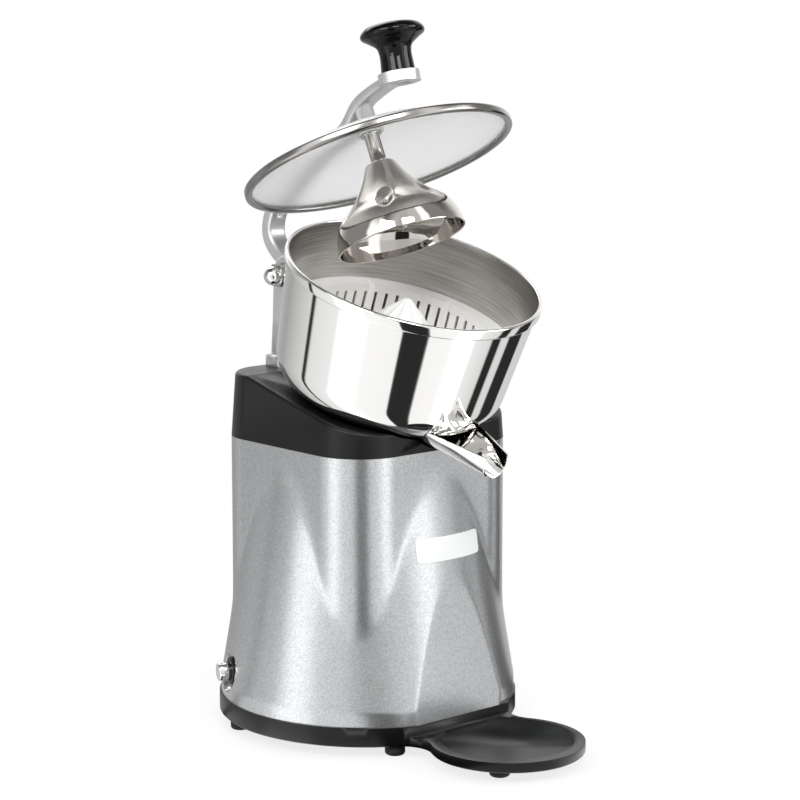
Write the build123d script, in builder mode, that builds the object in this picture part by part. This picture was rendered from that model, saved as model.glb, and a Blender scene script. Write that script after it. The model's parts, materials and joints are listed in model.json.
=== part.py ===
from build123d import *
from math import cos, hypot, radians, sin, sqrt, tan
import os

os.makedirs("parts", exist_ok=True)

# Electric citrus juicer with a lever press, in millimetres, degrees and counts.
# +Z is up and the front faces -Y. The origin lies on the floor, under the middle of the outline.
overrun = 2.0  # how far a cut runs past the face that it opens
moving_gap = 0.3  # between pieces that move past each other
hand_gap = 0.2  # between pieces that are put together by hand
thread_gap = 0.1  # radial, round a screw in its thread
running_gap = 0.05  # radial, round a turning shaft or pin

# Base, drip tray and feet
foot_height = 9.0
foot_radius = 7.75
foot_round = 2.5
base_height = 15.0
base_ledge = 1.5  # of the base, round the foot of the body shell
base_wall = 4.0
base_floor = 4.0
tray_radius = 58.5
tray_offset = 43.5  # from the edge of the base to the middle of the tray
tray_thickness = 8.0
tray_rim_width = 8.0
tray_recess = 3.0
tray_neck_radius = 22.0
tray_edge = 1.2
foot_inset = 11.9  # from the edge of the base to the middle of a foot
rear_foot_angle = 20.85
front_foot_angle = -60.8
tray_foot_spot = (28.4, -21.6)  # from the middle of the tray
vent_count = 9
vent_width = 3.0
vent_length = 60.0
vent_pitch = 9.0

# Body shell: a rounded square tower standing in a round skirt
body_height = 203.0
face_half_width = 87.0
corner_radius = 40.0
skirt_radius = 116.0
skirt_straight = 11.0
arch_height = 183.0  # from the shell's foot to where the skirt runs out on each face
shell_wall = 2.5
deck_thickness = 3.0
deck_opening_radius = 62.0
panel_depth = 9.0  # of the flat front panel's foot, in from the skirt
panel_lean = 6.2
panel_half_width = 40.0
panel_height = 112.0
shell_boss_radius = 6.0
shell_boss_height = 16.0
shell_boss_count = 4

# Top collar
collar_back_height = 50.0
collar_front_height = 17.0
collar_flat_depth = 42.0  # level part at the back, which carries the column
collar_draft = 4.0
collar_round = 3.0
collar_roof = 10.0
collar_pocket_half_width = 46.0
seat_radius = 56.0
spigot_radius = 9.7
spigot_wall = 2.2
spigot_height = 20.0
spout_notch_gap = 2.0

# Bowl
bowl_lean = 20.0
bowl_radius = 100.0
bowl_depth = 105.0
bowl_wall = 1.4
bowl_draft = 6.0
bowl_foot_round = 28.0
bowl_bead = 1.6
bowl_bead_height = 8.0
bowl_seat_back = -20.1  # middle of the bowl's foot, behind the body axis
bowl_seat_height = 260.3
bowl_to_collar = 1.5
pipe_height = 22.0
pipe_wall = 1.4
outlet_radius = 9.0
outlet_reach = 62.0

# Spout
spout_lean = 17.0
spout_length = 74.0
spout_root_width = 68.0
spout_tip_width = 24.0
spout_depth = 15.0
spout_lip = 3.0
spout_wall = 1.5
spout_root_reach = 72.0
spout_tip_height = 213.0

# Strainer basket
strainer_lift = 27.0  # from the bowl's foot to the underside of the basket
strainer_wall = 2.0
strainer_radius = 80.0
strainer_depth = 30.0
strainer_hole_radius = 21.0
slot_count = 56
slot_width = 2.4
slot_height = 20.0

# Reamer cone
cone_lift = 34.0  # from the bowl's foot to the foot of the ridges
cone_height = 49.0
cone_radius = 38.0
cone_ridges = 10
cone_valley_share = 0.84
cone_height_shares = (0.0, 0.35, 0.7, 1.0)
cone_radius_shares = (1.0, 0.83, 0.47, 0.07)
cone_disc_radius = 40.0
cone_disc_thickness = 4.0
cone_hub_radius = 17.0
cone_hub_wall = 3.0
cone_hub_length = 9.0

# Motor and drive, all on the bowl axis
shaft_radius = 6.0
shaft_in_cone = 26.0
shaft_flat_share = 0.8
collar_floor = 13.0
motor_radius = 48.0
shield_height = 16.0
shield_wall = 4.0
stator_height = 60.0
stator_bore_radius = 26.0
air_gap = 0.5
winding_radius = 38.0
winding_inner_radius = 28.5
winding_height = 10.0
bearing_radius = 16.0
bearing_width = 10.0
rotor_height = 52.0
fan_radius = 40.0
fan_height = 12.0
fan_blades = 9
fan_blade_thickness = 2.0
fan_hub_radius = 11.0
fan_gap = 3.0
shaft_end = 3.0
motor_bolt_radius = 2.5
motor_bolt_circle = 43.5
motor_bolt_count = 4
motor_bolt_grip = 9.0
motor_bolt_head_radius = 4.25
motor_bolt_head = 5.0
seal_height = 4.0

# Hinge column
hinge_back = 61.5  # hinge axis, behind the body axis
hinge_drop = 9.0  # of the hinge axis, below the middle of the bowl rim
column_half_width = 31.0
ear_thickness = 10.8
ear_radius = 15.0
column_foot_back = 84.5
column_foot_front = 58.5
column_waist_back = 81.0
column_waist_drop = 35.0  # below the hinge axis
column_shoulder_back = 79.5
column_slot_floor = 20.0  # below the hinge axis
column_round = 4.0
column_foot_half_width = 38.0
column_foot_thickness = 8.0
column_screw_radius = 3.0
column_screw_length = 26.0
column_screw_half_pitch = 24.0
column_screw_head = 4.0
column_screw_head_radius = 5.0

# Hinge bolt
bolt_radius = 5.0
bolt_head_across = 17.0
bolt_head_thickness = 6.4
washer_radius = 10.0
washer_thickness = 2.0
nut_across = 17.0
nut_hex_thickness = 8.0
nut_dome_radius = 7.6
nut_dome_length = 10.0
bush_radius = 8.0
bush_flange_radius = 12.0
bush_flange = 1.6
bush_length = 12.0

# Lever arm: middle line from the hinge to the pad, as shares of its reach and rise
lever_travel = 44.6
lever_reach = 100.0
lever_rise = 155.1
lever_back_shares = (0.0, 0.22, 0.42, 0.54, 0.515, 0.365, 0.105, -0.2, -0.415, -0.545, -0.685, -0.84, -1.0)
lever_up_shares = (0.0, 0.022, 0.075, 0.17, 0.275, 0.405, 0.56, 0.672, 0.742, 0.85, 0.915, 0.965, 1.0)
lever_thickness = 10.5
lever_thickness_shares = (1.3, 1.25, 1.12, 1.08, 1.05, 1.0, 1.0, 0.95, 0.9, 0.85, 0.82, 0.78, 0.76)
lever_width = 17.0
lever_round = 2.4
lever_channel_width = 9.0
lever_channel_depth = 3.0
channel_start_count = 4  # points of the middle line before the channel, and up to its end
channel_end_count = 9
lever_roof = 2.0  # over the end of the rod
hub_radius = 13.5
pad_radius = 16.0
pad_thickness = 8.0
pad_lean = 14.0
boss_radius = 7.2
boss_length = 18.0

# Knob and its screw
knob_height = 38.2
knob_head_radius = 24.6
knob_radius_shares = (0.5, 0.505, 0.56, 0.78, 0.985, 0.97, 0.72, 0.0)
knob_height_shares = (0.3, 0.4, 0.53, 0.645, 0.74, 0.85, 0.955, 1.0)
knob_foot_radius = 13.0
knob_screw_radius = 3.0
knob_screw_grip = 16.0
knob_screw_head_radius = 6.0
knob_screw_head = 3.5
knob_screw_recess_radius = 8.0
knob_screw_recess = 4.2

# Press rod, lid and bell: along the press axis, measured from the press datum just over the closed bowl
rod_radius = 6.0
rod_top = 46.0
rod_foot = -19.0
rod_collar_radius = 8.2  # shoulder that the lid's bush rests on
rod_collar = 1.5
grub_radius = 1.5
grub_height = 43.5
grub_length = 2.0
press_gap = 5.1  # from the bowl rim to the press datum with the press closed
lid_drop = 5.0  # from the press datum down to the lid's plane
lid_radius = 106.0
lid_ring_width = 5.4
lid_ring_foot = 0.2  # from the lid's plane up to the ring's underside
lid_ring_above = 6.8
lid_ring_round = 1.6
lid_grip = 3.2
pane_thickness = 3.0
pane_lift = 2.6  # from the lid's plane to the pane's flat edge
pane_rise = 23.8  # of the dome, over the flat edge
pane_hole_radius = 8.5
grommet_radius = 10.5
grommet_collar = 2.5
grommet_lip = 1.0
bell_radius = 50.0
bell_rim_drop = 67.0
bell_wall = 1.5
bell_neck_drop = 3.0
bell_neck_radius = 9.5
bell_radius_shares = (0.23, 0.32, 0.445, 0.62, 0.785, 0.885, 0.95, 0.985)
bell_drop_shares = (0.03, 0.17, 0.32, 0.485, 0.595, 0.68, 0.79, 0.9)
bell_roof = 21.0  # inside, below the press datum
dimple_count = 6
dimple_radius = 6.0
dimple_length = 16.0
dimple_lean = 52.0
dimple_reach = 40.5
dimple_drop = 38.0

# Push button, on the side of the skirt near the back
button_angle = 157.0
button_height = 46.0
button_sink = 7.0  # of the flat seat, in from the skirt
button_pocket_radius = 15.0
button_pad_thickness = 4.5  # and of the pad under the cable gland
bezel_radius = 11.0
bezel_height = 4.0
barrel_radius = 8.5
barrel_length = 20.0
cap_radius = 7.0
cap_proud = 13.5  # from the seat to the cap's face
cap_stem_length = 9.0
cap_edge_round = 1.2
button_nut_radius = 12.0
button_nut_thickness = 4.0
switch_width = 20.0
switch_depth = 16.0

# Cable gland, in the middle of the back
gland_angle = 90.0
gland_height = 44.0
gland_sink = 7.5  # of the flat seat, in from the skirt
gland_pocket_radius = 14.0
gland_across = 22.0
gland_hex = 4.0
gland_dome_radius = 9.0
gland_dome = 4.5
gland_thread_radius = 8.0
gland_thread = 14.0
gland_bore_radius = 3.75
gland_nut_thickness = 4.5

# Electrics on the base floor
capacitor_radius = 17.5
capacitor_height = 62.0
capacitor_spot = (-46.0, -34.0)
clip_thickness = 1.6
clip_height = 16.0
clip_foot = 14.0
terminal_length = 46.0
terminal_width = 16.0
terminal_height = 17.0
terminal_spot = (40.0, 30.0)
terminal_ways = 4
terminal_hole_radius = 2.6

# Screws of the base and the collar
base_screw_radius = 2.0
base_screw_head_radius = 4.0
base_screw_head = 2.6
base_screw_length = 20.0
collar_screw_radius = 2.5
collar_screw_spot = 62.0
collar_screw_length = 14.0
collar_screw_head_radius = 4.5
collar_screw_head = 3.0

# Levels and places that follow from the sizes above
base_radius = skirt_radius + base_ledge
tray_reach = base_radius + tray_offset
foot_circle = base_radius - foot_inset
panel_reach = skirt_radius - panel_depth
button_seat = skirt_radius - button_sink
gland_seat = skirt_radius - gland_sink
bend_place = lever_back_shares.index(max(lever_back_shares))
bend_half = lever_thickness / 2 * lever_thickness_shares[bend_place]
bend_reach = hinge_back + lever_reach * lever_back_shares[bend_place] + bend_half
axis_back = (tray_reach + tray_radius - max(base_radius, bend_reach)) / 2
base_top = foot_height + base_height
base_inside = foot_height + base_floor
tray_top = foot_height + tray_thickness
body_top = base_top + body_height
skirt_slope = (skirt_radius - face_half_width) / (arch_height - skirt_straight)
boss_circle = skirt_radius - shell_wall - shell_boss_radius + shell_wall / 2
press_lean = lever_travel - bowl_lean
bowl_wall_radius = bowl_radius - bowl_bead
collar_under = -bowl_depth - collar_floor
stator_top = collar_under - shield_height
stator_foot = stator_top - stator_height
motor_foot = stator_foot - shield_height
fan_top = motor_foot - fan_gap
shaft_foot = fan_top - fan_height - shaft_end
cone_foot = cone_lift - bowl_depth
cone_disc_foot = cone_foot - cone_disc_thickness
shaft_top = cone_foot + shaft_in_cone
strainer_drop = bowl_depth - strainer_lift - strainer_depth
pane_foot = pane_lift - lid_drop
pane_crown = pane_foot + pane_rise
dome_radius = lid_radius - lid_ring_width
dome_ball_radius = (dome_radius**2 + pane_rise**2) / (2 * pane_rise)


def deck(height):
    """Level plane centred on the body axis."""
    return Plane(origin=(0, axis_back, height))


def along(centre, lean, distance):
    """Point on an axis that leans back from upright."""
    angle = radians(lean)
    return (centre[0], centre[1] + distance * sin(angle), centre[2] + distance * cos(angle))


def lean_axis(centre, lean):
    return Axis(centre, (0, sin(radians(lean)), cos(radians(lean))))


def cross_plane(centre, lean, distance=0):
    """Plane square to a leaning axis; local z runs up the axis."""
    angle = radians(lean)
    return Plane(along(centre, lean, distance), x_dir=(1, 0, 0), z_dir=(0, sin(angle), cos(angle)))


def turn_plane(centre, lean):
    """Plane through a leaning axis; local x runs out from it and local y along it."""
    angle = radians(lean)
    return Plane(centre, x_dir=(1, 0, 0), z_dir=(0, -cos(angle), sin(angle)))


def side_plane(place):
    """Upright plane facing +X; local x runs to the back, measured from the body axis, and local y up."""
    return Plane((place, axis_back, 0), x_dir=(0, 1, 0), z_dir=(1, 0, 0))


def skirt_plane(angle, height, reach):
    """Upright plane square to a radius of the skirt; local z points out and local y up."""
    out = (cos(radians(angle)), sin(radians(angle)), 0)
    centre = (reach * out[0], axis_back + reach * out[1], height)
    return Plane(centre, x_dir=(-out[1], out[0], 0), z_dir=out)


rim_centre = along((0, axis_back + bowl_seat_back, bowl_seat_height), -bowl_lean, bowl_depth)
hinge_height = rim_centre[2] - hinge_drop
hinge_centre = (0, axis_back + hinge_back, hinge_height)


def opened(centre):
    """Where a point of the closed press stands with the lever raised."""
    angle = radians(lever_travel)
    back = centre[1] - hinge_centre[1]
    up = centre[2] - hinge_centre[2]
    raised_back = back * cos(angle) + up * sin(angle)
    raised_up = up * cos(angle) - back * sin(angle)
    return (0, hinge_centre[1] + raised_back, hinge_centre[2] + raised_up)


press_datum = opened(along(rim_centre, -bowl_lean, press_gap))
body_axis = Axis((0, axis_back, 0), (0, 0, 1))
bowl_axis = lean_axis(rim_centre, -bowl_lean)
press_axis = lean_axis(press_datum, press_lean)
pad_centre = (0, hinge_centre[1] - lever_reach, hinge_height + lever_rise)


def bowl_level(height):
    """Plane square to the bowl axis, measured up from the rim."""
    return cross_plane(rim_centre, -bowl_lean, height)


def press_level(height):
    """Plane square to the press axis, measured up from the press datum."""
    return cross_plane(press_datum, press_lean, height)


def ring(plane, outer, inner, height):
    """Plain ring standing on a plane."""
    with BuildPart() as turned:
        with BuildSketch(plane):
            Circle(outer)
            Circle(inner, mode=Mode.SUBTRACT)
        extrude(amount=height)
    return turned.part


# Base with its drip tray
with BuildPart() as base_tray:
    with BuildSketch(deck(foot_height)) as plan:
        Circle(base_radius)
        with Locations((0, -tray_reach)):
            Circle(tray_radius)
        necks = plan.vertices().filter_by_position(Axis.Y, -tray_reach, 0, (False, False))
        fillet(necks, tray_neck_radius)
    extrude(amount=base_height)
    chamfer(base_tray.faces().sort_by(Axis.Z)[0].edges(), tray_edge)
    with BuildSketch(deck(tray_top)):
        with Locations((0, -panel_reach - shell_wall / 2)):
            Rectangle(2 * base_radius, 2 * base_radius, align=(Align.CENTER, Align.MAX))
    extrude(amount=base_height, mode=Mode.SUBTRACT)
    with BuildSketch(deck(tray_top)):
        with Locations((0, -tray_reach)):
            Circle(tray_radius - tray_rim_width)
        with Locations((0, -panel_reach - tray_rim_width)):
            Rectangle(2 * base_radius, 2 * base_radius, align=(Align.CENTER, Align.MIN), mode=Mode.SUBTRACT)
    extrude(amount=-tray_recess, mode=Mode.SUBTRACT)
    with BuildSketch(deck(base_inside)):
        Circle(base_radius - base_wall)
        with Locations((0, -panel_reach + base_wall)):
            Rectangle(2 * base_radius, 2 * base_radius, align=(Align.CENTER, Align.MAX), mode=Mode.SUBTRACT)
    extrude(amount=base_height, mode=Mode.SUBTRACT)
    with BuildSketch(deck(foot_height)):
        with PolarLocations(boss_circle, shell_boss_count, start_angle=45):
            Circle(shell_boss_radius)
    extrude(amount=base_height)
    with BuildSketch(deck(foot_height)):
        with PolarLocations(boss_circle, shell_boss_count, start_angle=45):
            Circle(base_screw_radius + thread_gap)
    extrude(amount=base_height, mode=Mode.SUBTRACT)
    with BuildSketch(deck(foot_height)):
        with PolarLocations(boss_circle, shell_boss_count, start_angle=45):
            Circle(base_screw_head_radius + hand_gap)
    extrude(amount=base_screw_head + hand_gap, mode=Mode.SUBTRACT)
    with BuildSketch(deck(foot_height)):
        with GridLocations(0, vent_pitch, 1, vent_count):
            SlotOverall(vent_length, vent_width)
    extrude(amount=base_floor, mode=Mode.SUBTRACT)
base_tray.part.label = "base_tray"
export_step(base_tray.part, "parts/base_tray.step")

foot_spots = []
for angle in (rear_foot_angle, front_foot_angle):
    across = foot_circle * cos(radians(angle))
    back = foot_circle * sin(radians(angle))
    foot_spots += [(across, back), (-across, back)]
across, back = tray_foot_spot
foot_spots += [(across, back - tray_reach), (-across, back - tray_reach)]
with BuildPart() as rubber_feet:
    with BuildSketch(deck(0)):
        with Locations(*foot_spots):
            Circle(foot_radius)
    extrude(amount=foot_height)
    fillet(rubber_feet.edges().group_by(Axis.Z)[0], foot_round)
rubber_feet.part.label = "rubber_feet"
export_step(rubber_feet.part, "parts/rubber_feet.step")


def body_form(inset, foot, roof):
    """Body outline, set in by a wall: tower, skirt round it and arched front panel cut into it."""
    skirt_top = roof - foot
    with BuildPart() as form:
        with BuildSketch(deck(foot)):
            side = 2 * (face_half_width - inset)
            RectangleRounded(side, side, corner_radius - inset)
        extrude(amount=roof - foot)
        with BuildSketch(Plane((0, axis_back, foot), x_dir=(1, 0, 0), z_dir=(0, -1, 0))):
            with BuildLine():
                reach = skirt_radius - inset
                Polyline(
                    (0, 0),
                    (reach, 0),
                    (reach, skirt_straight),
                    (reach - skirt_slope * (skirt_top - skirt_straight), skirt_top),
                    (0, skirt_top),
                    close=True,
                )
            make_face()
        revolve(axis=body_axis)
        tilt = radians(panel_lean)
        panel_foot = (0, axis_back - panel_reach + inset, base_top)
        with BuildSketch(Plane(panel_foot, x_dir=(1, 0, 0), z_dir=(0, -cos(tilt), sin(tilt)))):
            half = panel_half_width + inset
            with Locations((0, panel_height - panel_half_width)):
                Circle(half)
            with Locations((0, -base_height)):
                Rectangle(
                    2 * half,
                    panel_height - panel_half_width + base_height,
                    align=(Align.CENTER, Align.MIN),
                )
        extrude(amount=skirt_radius - face_half_width, mode=Mode.SUBTRACT)
    return form.part


def seat_pad(angle, height, seat, pocket):
    """Round pad behind a pocket in the skirt, trimmed to the body's outline."""
    with BuildPart() as pad:
        with BuildSketch(skirt_plane(angle, height, seat - button_pad_thickness)):
            Circle(pocket + shell_wall)
        extrude(amount=button_pad_thickness + skirt_radius - seat)
        add(outer_form, mode=Mode.INTERSECT)
    return pad.part


outer_form = body_form(0, base_top, body_top)
inner_form = body_form(shell_wall, base_top, body_top - deck_thickness)
with BuildPart() as body_shell:
    add(outer_form)
    add(inner_form, mode=Mode.SUBTRACT)
    with BuildSketch(deck(body_top - deck_thickness)):
        with Locations((0, bowl_seat_back + (bowl_seat_height - body_top) * tan(radians(bowl_lean)))):
            Circle(deck_opening_radius)
    extrude(amount=deck_thickness, mode=Mode.SUBTRACT)
    with BuildSketch(deck(base_top)):
        with PolarLocations(boss_circle, shell_boss_count, start_angle=45):
            Circle(shell_boss_radius)
    extrude(amount=shell_boss_height)
    with BuildSketch(deck(base_top)):
        with PolarLocations(boss_circle, shell_boss_count, start_angle=45):
            Circle(base_screw_radius + thread_gap)
    extrude(amount=shell_boss_height - shell_wall, mode=Mode.SUBTRACT)
    for angle, height, seat, pocket, hole in (
        (button_angle, button_height, button_seat, button_pocket_radius, barrel_radius),
        (gland_angle, gland_height, gland_seat, gland_pocket_radius, gland_thread_radius),
    ):
        add(seat_pad(angle, height, seat, pocket))
        with BuildSketch(skirt_plane(angle, height, seat)):
            Circle(pocket)
        extrude(amount=skirt_radius - seat + overrun, mode=Mode.SUBTRACT)
        with BuildSketch(skirt_plane(angle, height, seat)):
            Circle(hole + hand_gap)
        extrude(amount=-button_pad_thickness, mode=Mode.SUBTRACT)
    with BuildSketch(deck(body_top - deck_thickness)):
        with GridLocations(2 * collar_screw_spot, 2 * collar_screw_spot, 2, 2):
            Circle(collar_screw_radius + thread_gap)
    extrude(amount=deck_thickness, mode=Mode.SUBTRACT)
body_shell.part.label = "body_shell"
export_step(body_shell.part, "parts/body_shell.step")


def bowl_form(grow, top):
    """Solid shape of the bowl's outside, grown all round, up to a level above the rim."""
    slope = tan(radians(bowl_draft))
    foot = -bowl_depth - grow
    with BuildPart() as form:
        with BuildSketch(turn_plane(rim_centre, -bowl_lean)) as profile:
            with BuildLine():
                Polyline(
                    (0, foot),
                    (bowl_wall_radius + grow + slope * foot, foot),
                    (bowl_wall_radius + grow + slope * top, top),
                    (0, top),
                    close=True,
                )
            make_face()
            corner = profile.vertices().group_by(Axis.Y)[0].sort_by(Axis.X)[-1]
            fillet(corner, bowl_foot_round + grow)
        revolve(axis=bowl_axis)
    return form.part


bowl_outside = bowl_form(0, 0)
bowl_inside = bowl_form(-bowl_wall, overrun)
bowl_recess = bowl_form(bowl_to_collar, bowl_radius)

spout_tip = (0, axis_back - spout_root_reach - spout_length * cos(radians(spout_lean)), spout_tip_height)


def trough(wall, lip, tip_overrun):
    """Tapering trough with a round bottom, set in by a wall; its sections stand square to its run."""
    back = (0, cos(radians(spout_lean)), sin(radians(spout_lean)))
    tip_plane = Plane(spout_tip, x_dir=(1, 0, 0), z_dir=back)
    brim = -spout_depth - lip
    with BuildPart() as form:
        for plane, width in (
            (tip_plane.offset(-tip_overrun), spout_tip_width),
            (tip_plane.offset(spout_length - wall), spout_root_width),
        ):
            half = width / 2 - wall
            with BuildSketch(plane):
                with BuildLine():
                    ThreePointArc((-half, -spout_depth), (0, -wall), (half, -spout_depth))
                    Polyline((half, -spout_depth), (half, brim), (-half, brim), (-half, -spout_depth))
                make_face()
        loft(ruled=True)
    return form.part


spout_outside = trough(0, spout_lip, 0)
spout_inside = trough(spout_wall, spout_lip + overrun, overrun)
spout_notch = trough(-spout_notch_gap, spout_lip + bowl_depth, overrun)

# Top collar, dished for the bowl, with the round seat and spigot that hold it
with BuildPart() as top_collar:
    with BuildSketch(side_plane(0)):
        with BuildLine():
            Polyline(
                (-face_half_width, body_top),
                (face_half_width, body_top),
                (face_half_width, body_top + collar_back_height),
                (face_half_width - collar_flat_depth, body_top + collar_back_height),
                (-face_half_width, body_top + collar_front_height),
                close=True,
            )
        make_face()
    extrude(amount=face_half_width, both=True)
    with BuildSketch(deck(body_top)):
        RectangleRounded(2 * face_half_width, 2 * face_half_width, corner_radius)
    extrude(amount=collar_back_height + overrun, taper=collar_draft, mode=Mode.INTERSECT)
    collar_roofs = top_collar.faces().filter_by(lambda face: face.normal_at().Z > sin(radians(bowl_lean)))
    fillet(collar_roofs.edges(), collar_round)
    add(bowl_recess, mode=Mode.SUBTRACT)
    with BuildSketch(bowl_level(-bowl_depth)):
        Circle(seat_radius)
    extrude(amount=-collar_floor)
    with BuildSketch(bowl_level(-bowl_depth)):
        Circle(spigot_radius)
    extrude(amount=spigot_height)
    with BuildSketch(bowl_level(collar_under)):
        Circle(motor_radius + hand_gap)
    extrude(amount=-motor_radius - stator_height, mode=Mode.SUBTRACT)
    with BuildSketch(bowl_level(collar_under)):
        Circle(spigot_radius - spigot_wall)
    extrude(amount=collar_floor + spigot_height, mode=Mode.SUBTRACT)
    with BuildSketch(bowl_level(collar_under)):
        with PolarLocations(motor_bolt_circle, motor_bolt_count, start_angle=45):
            Circle(motor_bolt_radius + thread_gap)
    extrude(amount=motor_bolt_grip + thread_gap, mode=Mode.SUBTRACT)
    with BuildSketch(deck(body_top)):
        with Locations((0, face_half_width - corner_radius / 2)):
            Rectangle(2 * collar_pocket_half_width, corner_radius - 2 * shell_wall)
    extrude(amount=collar_back_height - collar_roof, mode=Mode.SUBTRACT)
    with BuildSketch(deck(body_top + collar_back_height)):
        with Locations((0, (column_foot_front + column_foot_back) / 2)):
            with GridLocations(2 * column_screw_half_pitch, 0, 2, 1):
                Circle(column_screw_radius + thread_gap)
    extrude(amount=-collar_roof, mode=Mode.SUBTRACT)
    with BuildSketch(deck(body_top)):
        with GridLocations(2 * collar_screw_spot, 2 * collar_screw_spot, 2, 2):
            Circle(collar_screw_radius + thread_gap)
    extrude(amount=collar_screw_length, mode=Mode.SUBTRACT)
    add(spout_notch, mode=Mode.SUBTRACT)
top_collar.part.label = "top_collar"
export_step(top_collar.part, "parts/top_collar.step")

# Bowl: spun steel with a rolled bead and a pipe that drops over the collar's spigot
with BuildPart() as bowl:
    add(bowl_outside)
    with BuildSketch(bowl_level(-bowl_bead_height)):
        Circle(bowl_radius)
    extrude(amount=bowl_bead_height)
    add(bowl_inside, mode=Mode.SUBTRACT)
    with BuildSketch(bowl_level(-bowl_depth)):
        Circle(spigot_radius + hand_gap + pipe_wall)
    extrude(amount=pipe_height)
    with BuildSketch(bowl_level(-bowl_depth)):
        Circle(spigot_radius + hand_gap)
    extrude(amount=pipe_height, mode=Mode.SUBTRACT)
    with BuildSketch(bowl_level(-bowl_depth)):
        with Locations((0, -outlet_reach)):
            Circle(outlet_radius)
    extrude(amount=bowl_foot_round, mode=Mode.SUBTRACT)
bowl.part.label = "bowl"
export_step(bowl.part, "parts/bowl.step")

# Spout: an open trough under the lowest edge of the bowl
bowl_contact = bowl_form(hand_gap, 0)
with BuildPart() as spout:
    add(spout_outside)
    add(spout_inside, mode=Mode.SUBTRACT)
    add(bowl_contact, mode=Mode.SUBTRACT)
spout.part.label = "spout"
export_step(spout.part, "parts/spout.step")

# Strainer basket: a flange wedged in the bowl's taper, a slotted wall and a floor with a hole for the reamer
flange_radius = bowl_wall_radius - bowl_wall - hand_gap - strainer_drop * tan(radians(bowl_draft))
with BuildPart() as strainer_basket:
    with BuildSketch(turn_plane(rim_centre, -bowl_lean)):
        with BuildLine():
            Polyline(
                (strainer_radius - strainer_wall, -strainer_drop + strainer_wall),
                (flange_radius, -strainer_drop + strainer_wall),
                (flange_radius, -strainer_drop),
                (strainer_radius, -strainer_drop),
                (strainer_radius, -strainer_drop - strainer_depth),
                (strainer_hole_radius, -strainer_drop - strainer_depth),
                (strainer_hole_radius, -strainer_drop - strainer_depth + strainer_wall),
                (strainer_radius - strainer_wall, -strainer_drop - strainer_depth + strainer_wall),
                close=True,
            )
        make_face()
    revolve(axis=bowl_axis)
    with BuildSketch(bowl_level(-strainer_drop - slot_height - 2 * strainer_wall)):
        with PolarLocations(strainer_radius - strainer_wall / 2, slot_count):
            Rectangle(strainer_wall + overrun, slot_width)
    extrude(amount=slot_height, mode=Mode.SUBTRACT)
strainer_basket.part.label = "strainer_basket"
export_step(strainer_basket.part, "parts/strainer_basket.step")


def star(radius):
    """Corners of the ridged section: ridges and valleys in turn."""
    corners = []
    for step in range(2 * cone_ridges):
        angle = radians(180 * step / cone_ridges)
        reach = radius * (1 if step % 2 == 0 else cone_valley_share)
        corners.append((reach * cos(angle), reach * sin(angle)))
    return corners


# Reamer cone with its ridges, disc and the hub that turns over the bowl's pipe
with BuildPart() as reamer_cone:
    for height_share, radius_share in zip(cone_height_shares, cone_radius_shares):
        with BuildSketch(bowl_level(cone_foot + cone_height * height_share)):
            Polygon(*star(cone_radius * radius_share), align=None)
    loft(ruled=True)
    with BuildSketch(bowl_level(cone_disc_foot)):
        Circle(cone_disc_radius)
    extrude(amount=cone_disc_thickness)
    with BuildSketch(bowl_level(cone_disc_foot)):
        Circle(cone_hub_radius)
        Circle(cone_hub_radius - cone_hub_wall, mode=Mode.SUBTRACT)
    extrude(amount=-cone_hub_length)
    with BuildSketch(bowl_level(cone_disc_foot)):
        Circle(shaft_radius + running_gap)
        socket_width = 2 * shaft_radius * shaft_flat_share + 2 * running_gap
        Rectangle(4 * shaft_radius, socket_width, mode=Mode.INTERSECT)
    extrude(amount=shaft_top - cone_disc_foot + thread_gap, mode=Mode.SUBTRACT)
reamer_cone.part.label = "reamer_cone"
export_step(reamer_cone.part, "parts/reamer_cone.step")

# Drive shaft: round in its bearings, flattened where it drives the reamer
with BuildPart() as drive_shaft:
    with BuildSketch(bowl_level(shaft_foot)):
        Circle(shaft_radius)
    extrude(amount=cone_disc_foot - moving_gap - shaft_foot)
    with BuildSketch(bowl_level(cone_disc_foot - moving_gap)):
        Circle(shaft_radius)
        Rectangle(4 * shaft_radius, 2 * shaft_radius * shaft_flat_share, mode=Mode.INTERSECT)
    extrude(amount=shaft_top - cone_disc_foot + moving_gap)
drive_shaft.part.label = "drive_shaft"
export_step(drive_shaft.part, "parts/drive_shaft.step")

with BuildPart() as shaft_seal:
    add(ring(
        bowl_level(-bowl_depth + spigot_height - seal_height),
        spigot_radius - spigot_wall - running_gap,
        shaft_radius + running_gap,
        seal_height,
    ))
shaft_seal.part.label = "shaft_seal"
export_step(shaft_seal.part, "parts/shaft_seal.step")


def shield(foot, rise):
    """Cup-shaped motor end shield with a bearing seat and bolt holes, opening towards the stator."""
    with BuildPart() as cup:
        with BuildSketch(bowl_level(foot)):
            Circle(motor_radius)
        extrude(amount=rise * shield_height)
        with BuildSketch(bowl_level(foot + rise * shield_wall)):
            Circle(motor_bolt_circle - motor_bolt_head_radius)
            Circle(bearing_radius + shield_wall, mode=Mode.SUBTRACT)
        extrude(amount=rise * shield_height, mode=Mode.SUBTRACT)
        with BuildSketch(bowl_level(foot)):
            Circle(bearing_radius)
        extrude(amount=rise * shield_height, mode=Mode.SUBTRACT)
        with BuildSketch(bowl_level(foot)):
            with PolarLocations(motor_bolt_circle, motor_bolt_count, start_angle=45):
                Circle(motor_bolt_radius + hand_gap)
        extrude(amount=rise * shield_height, mode=Mode.SUBTRACT)
    return cup.part


with BuildPart() as motor_top_shield:
    add(shield(collar_under, -1))
motor_top_shield.part.label = "motor_top_shield"
export_step(motor_top_shield.part, "parts/motor_top_shield.step")

with BuildPart() as motor_bottom_shield:
    add(shield(motor_foot, 1))
motor_bottom_shield.part.label = "motor_bottom_shield"
export_step(motor_bottom_shield.part, "parts/motor_bottom_shield.step")

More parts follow.
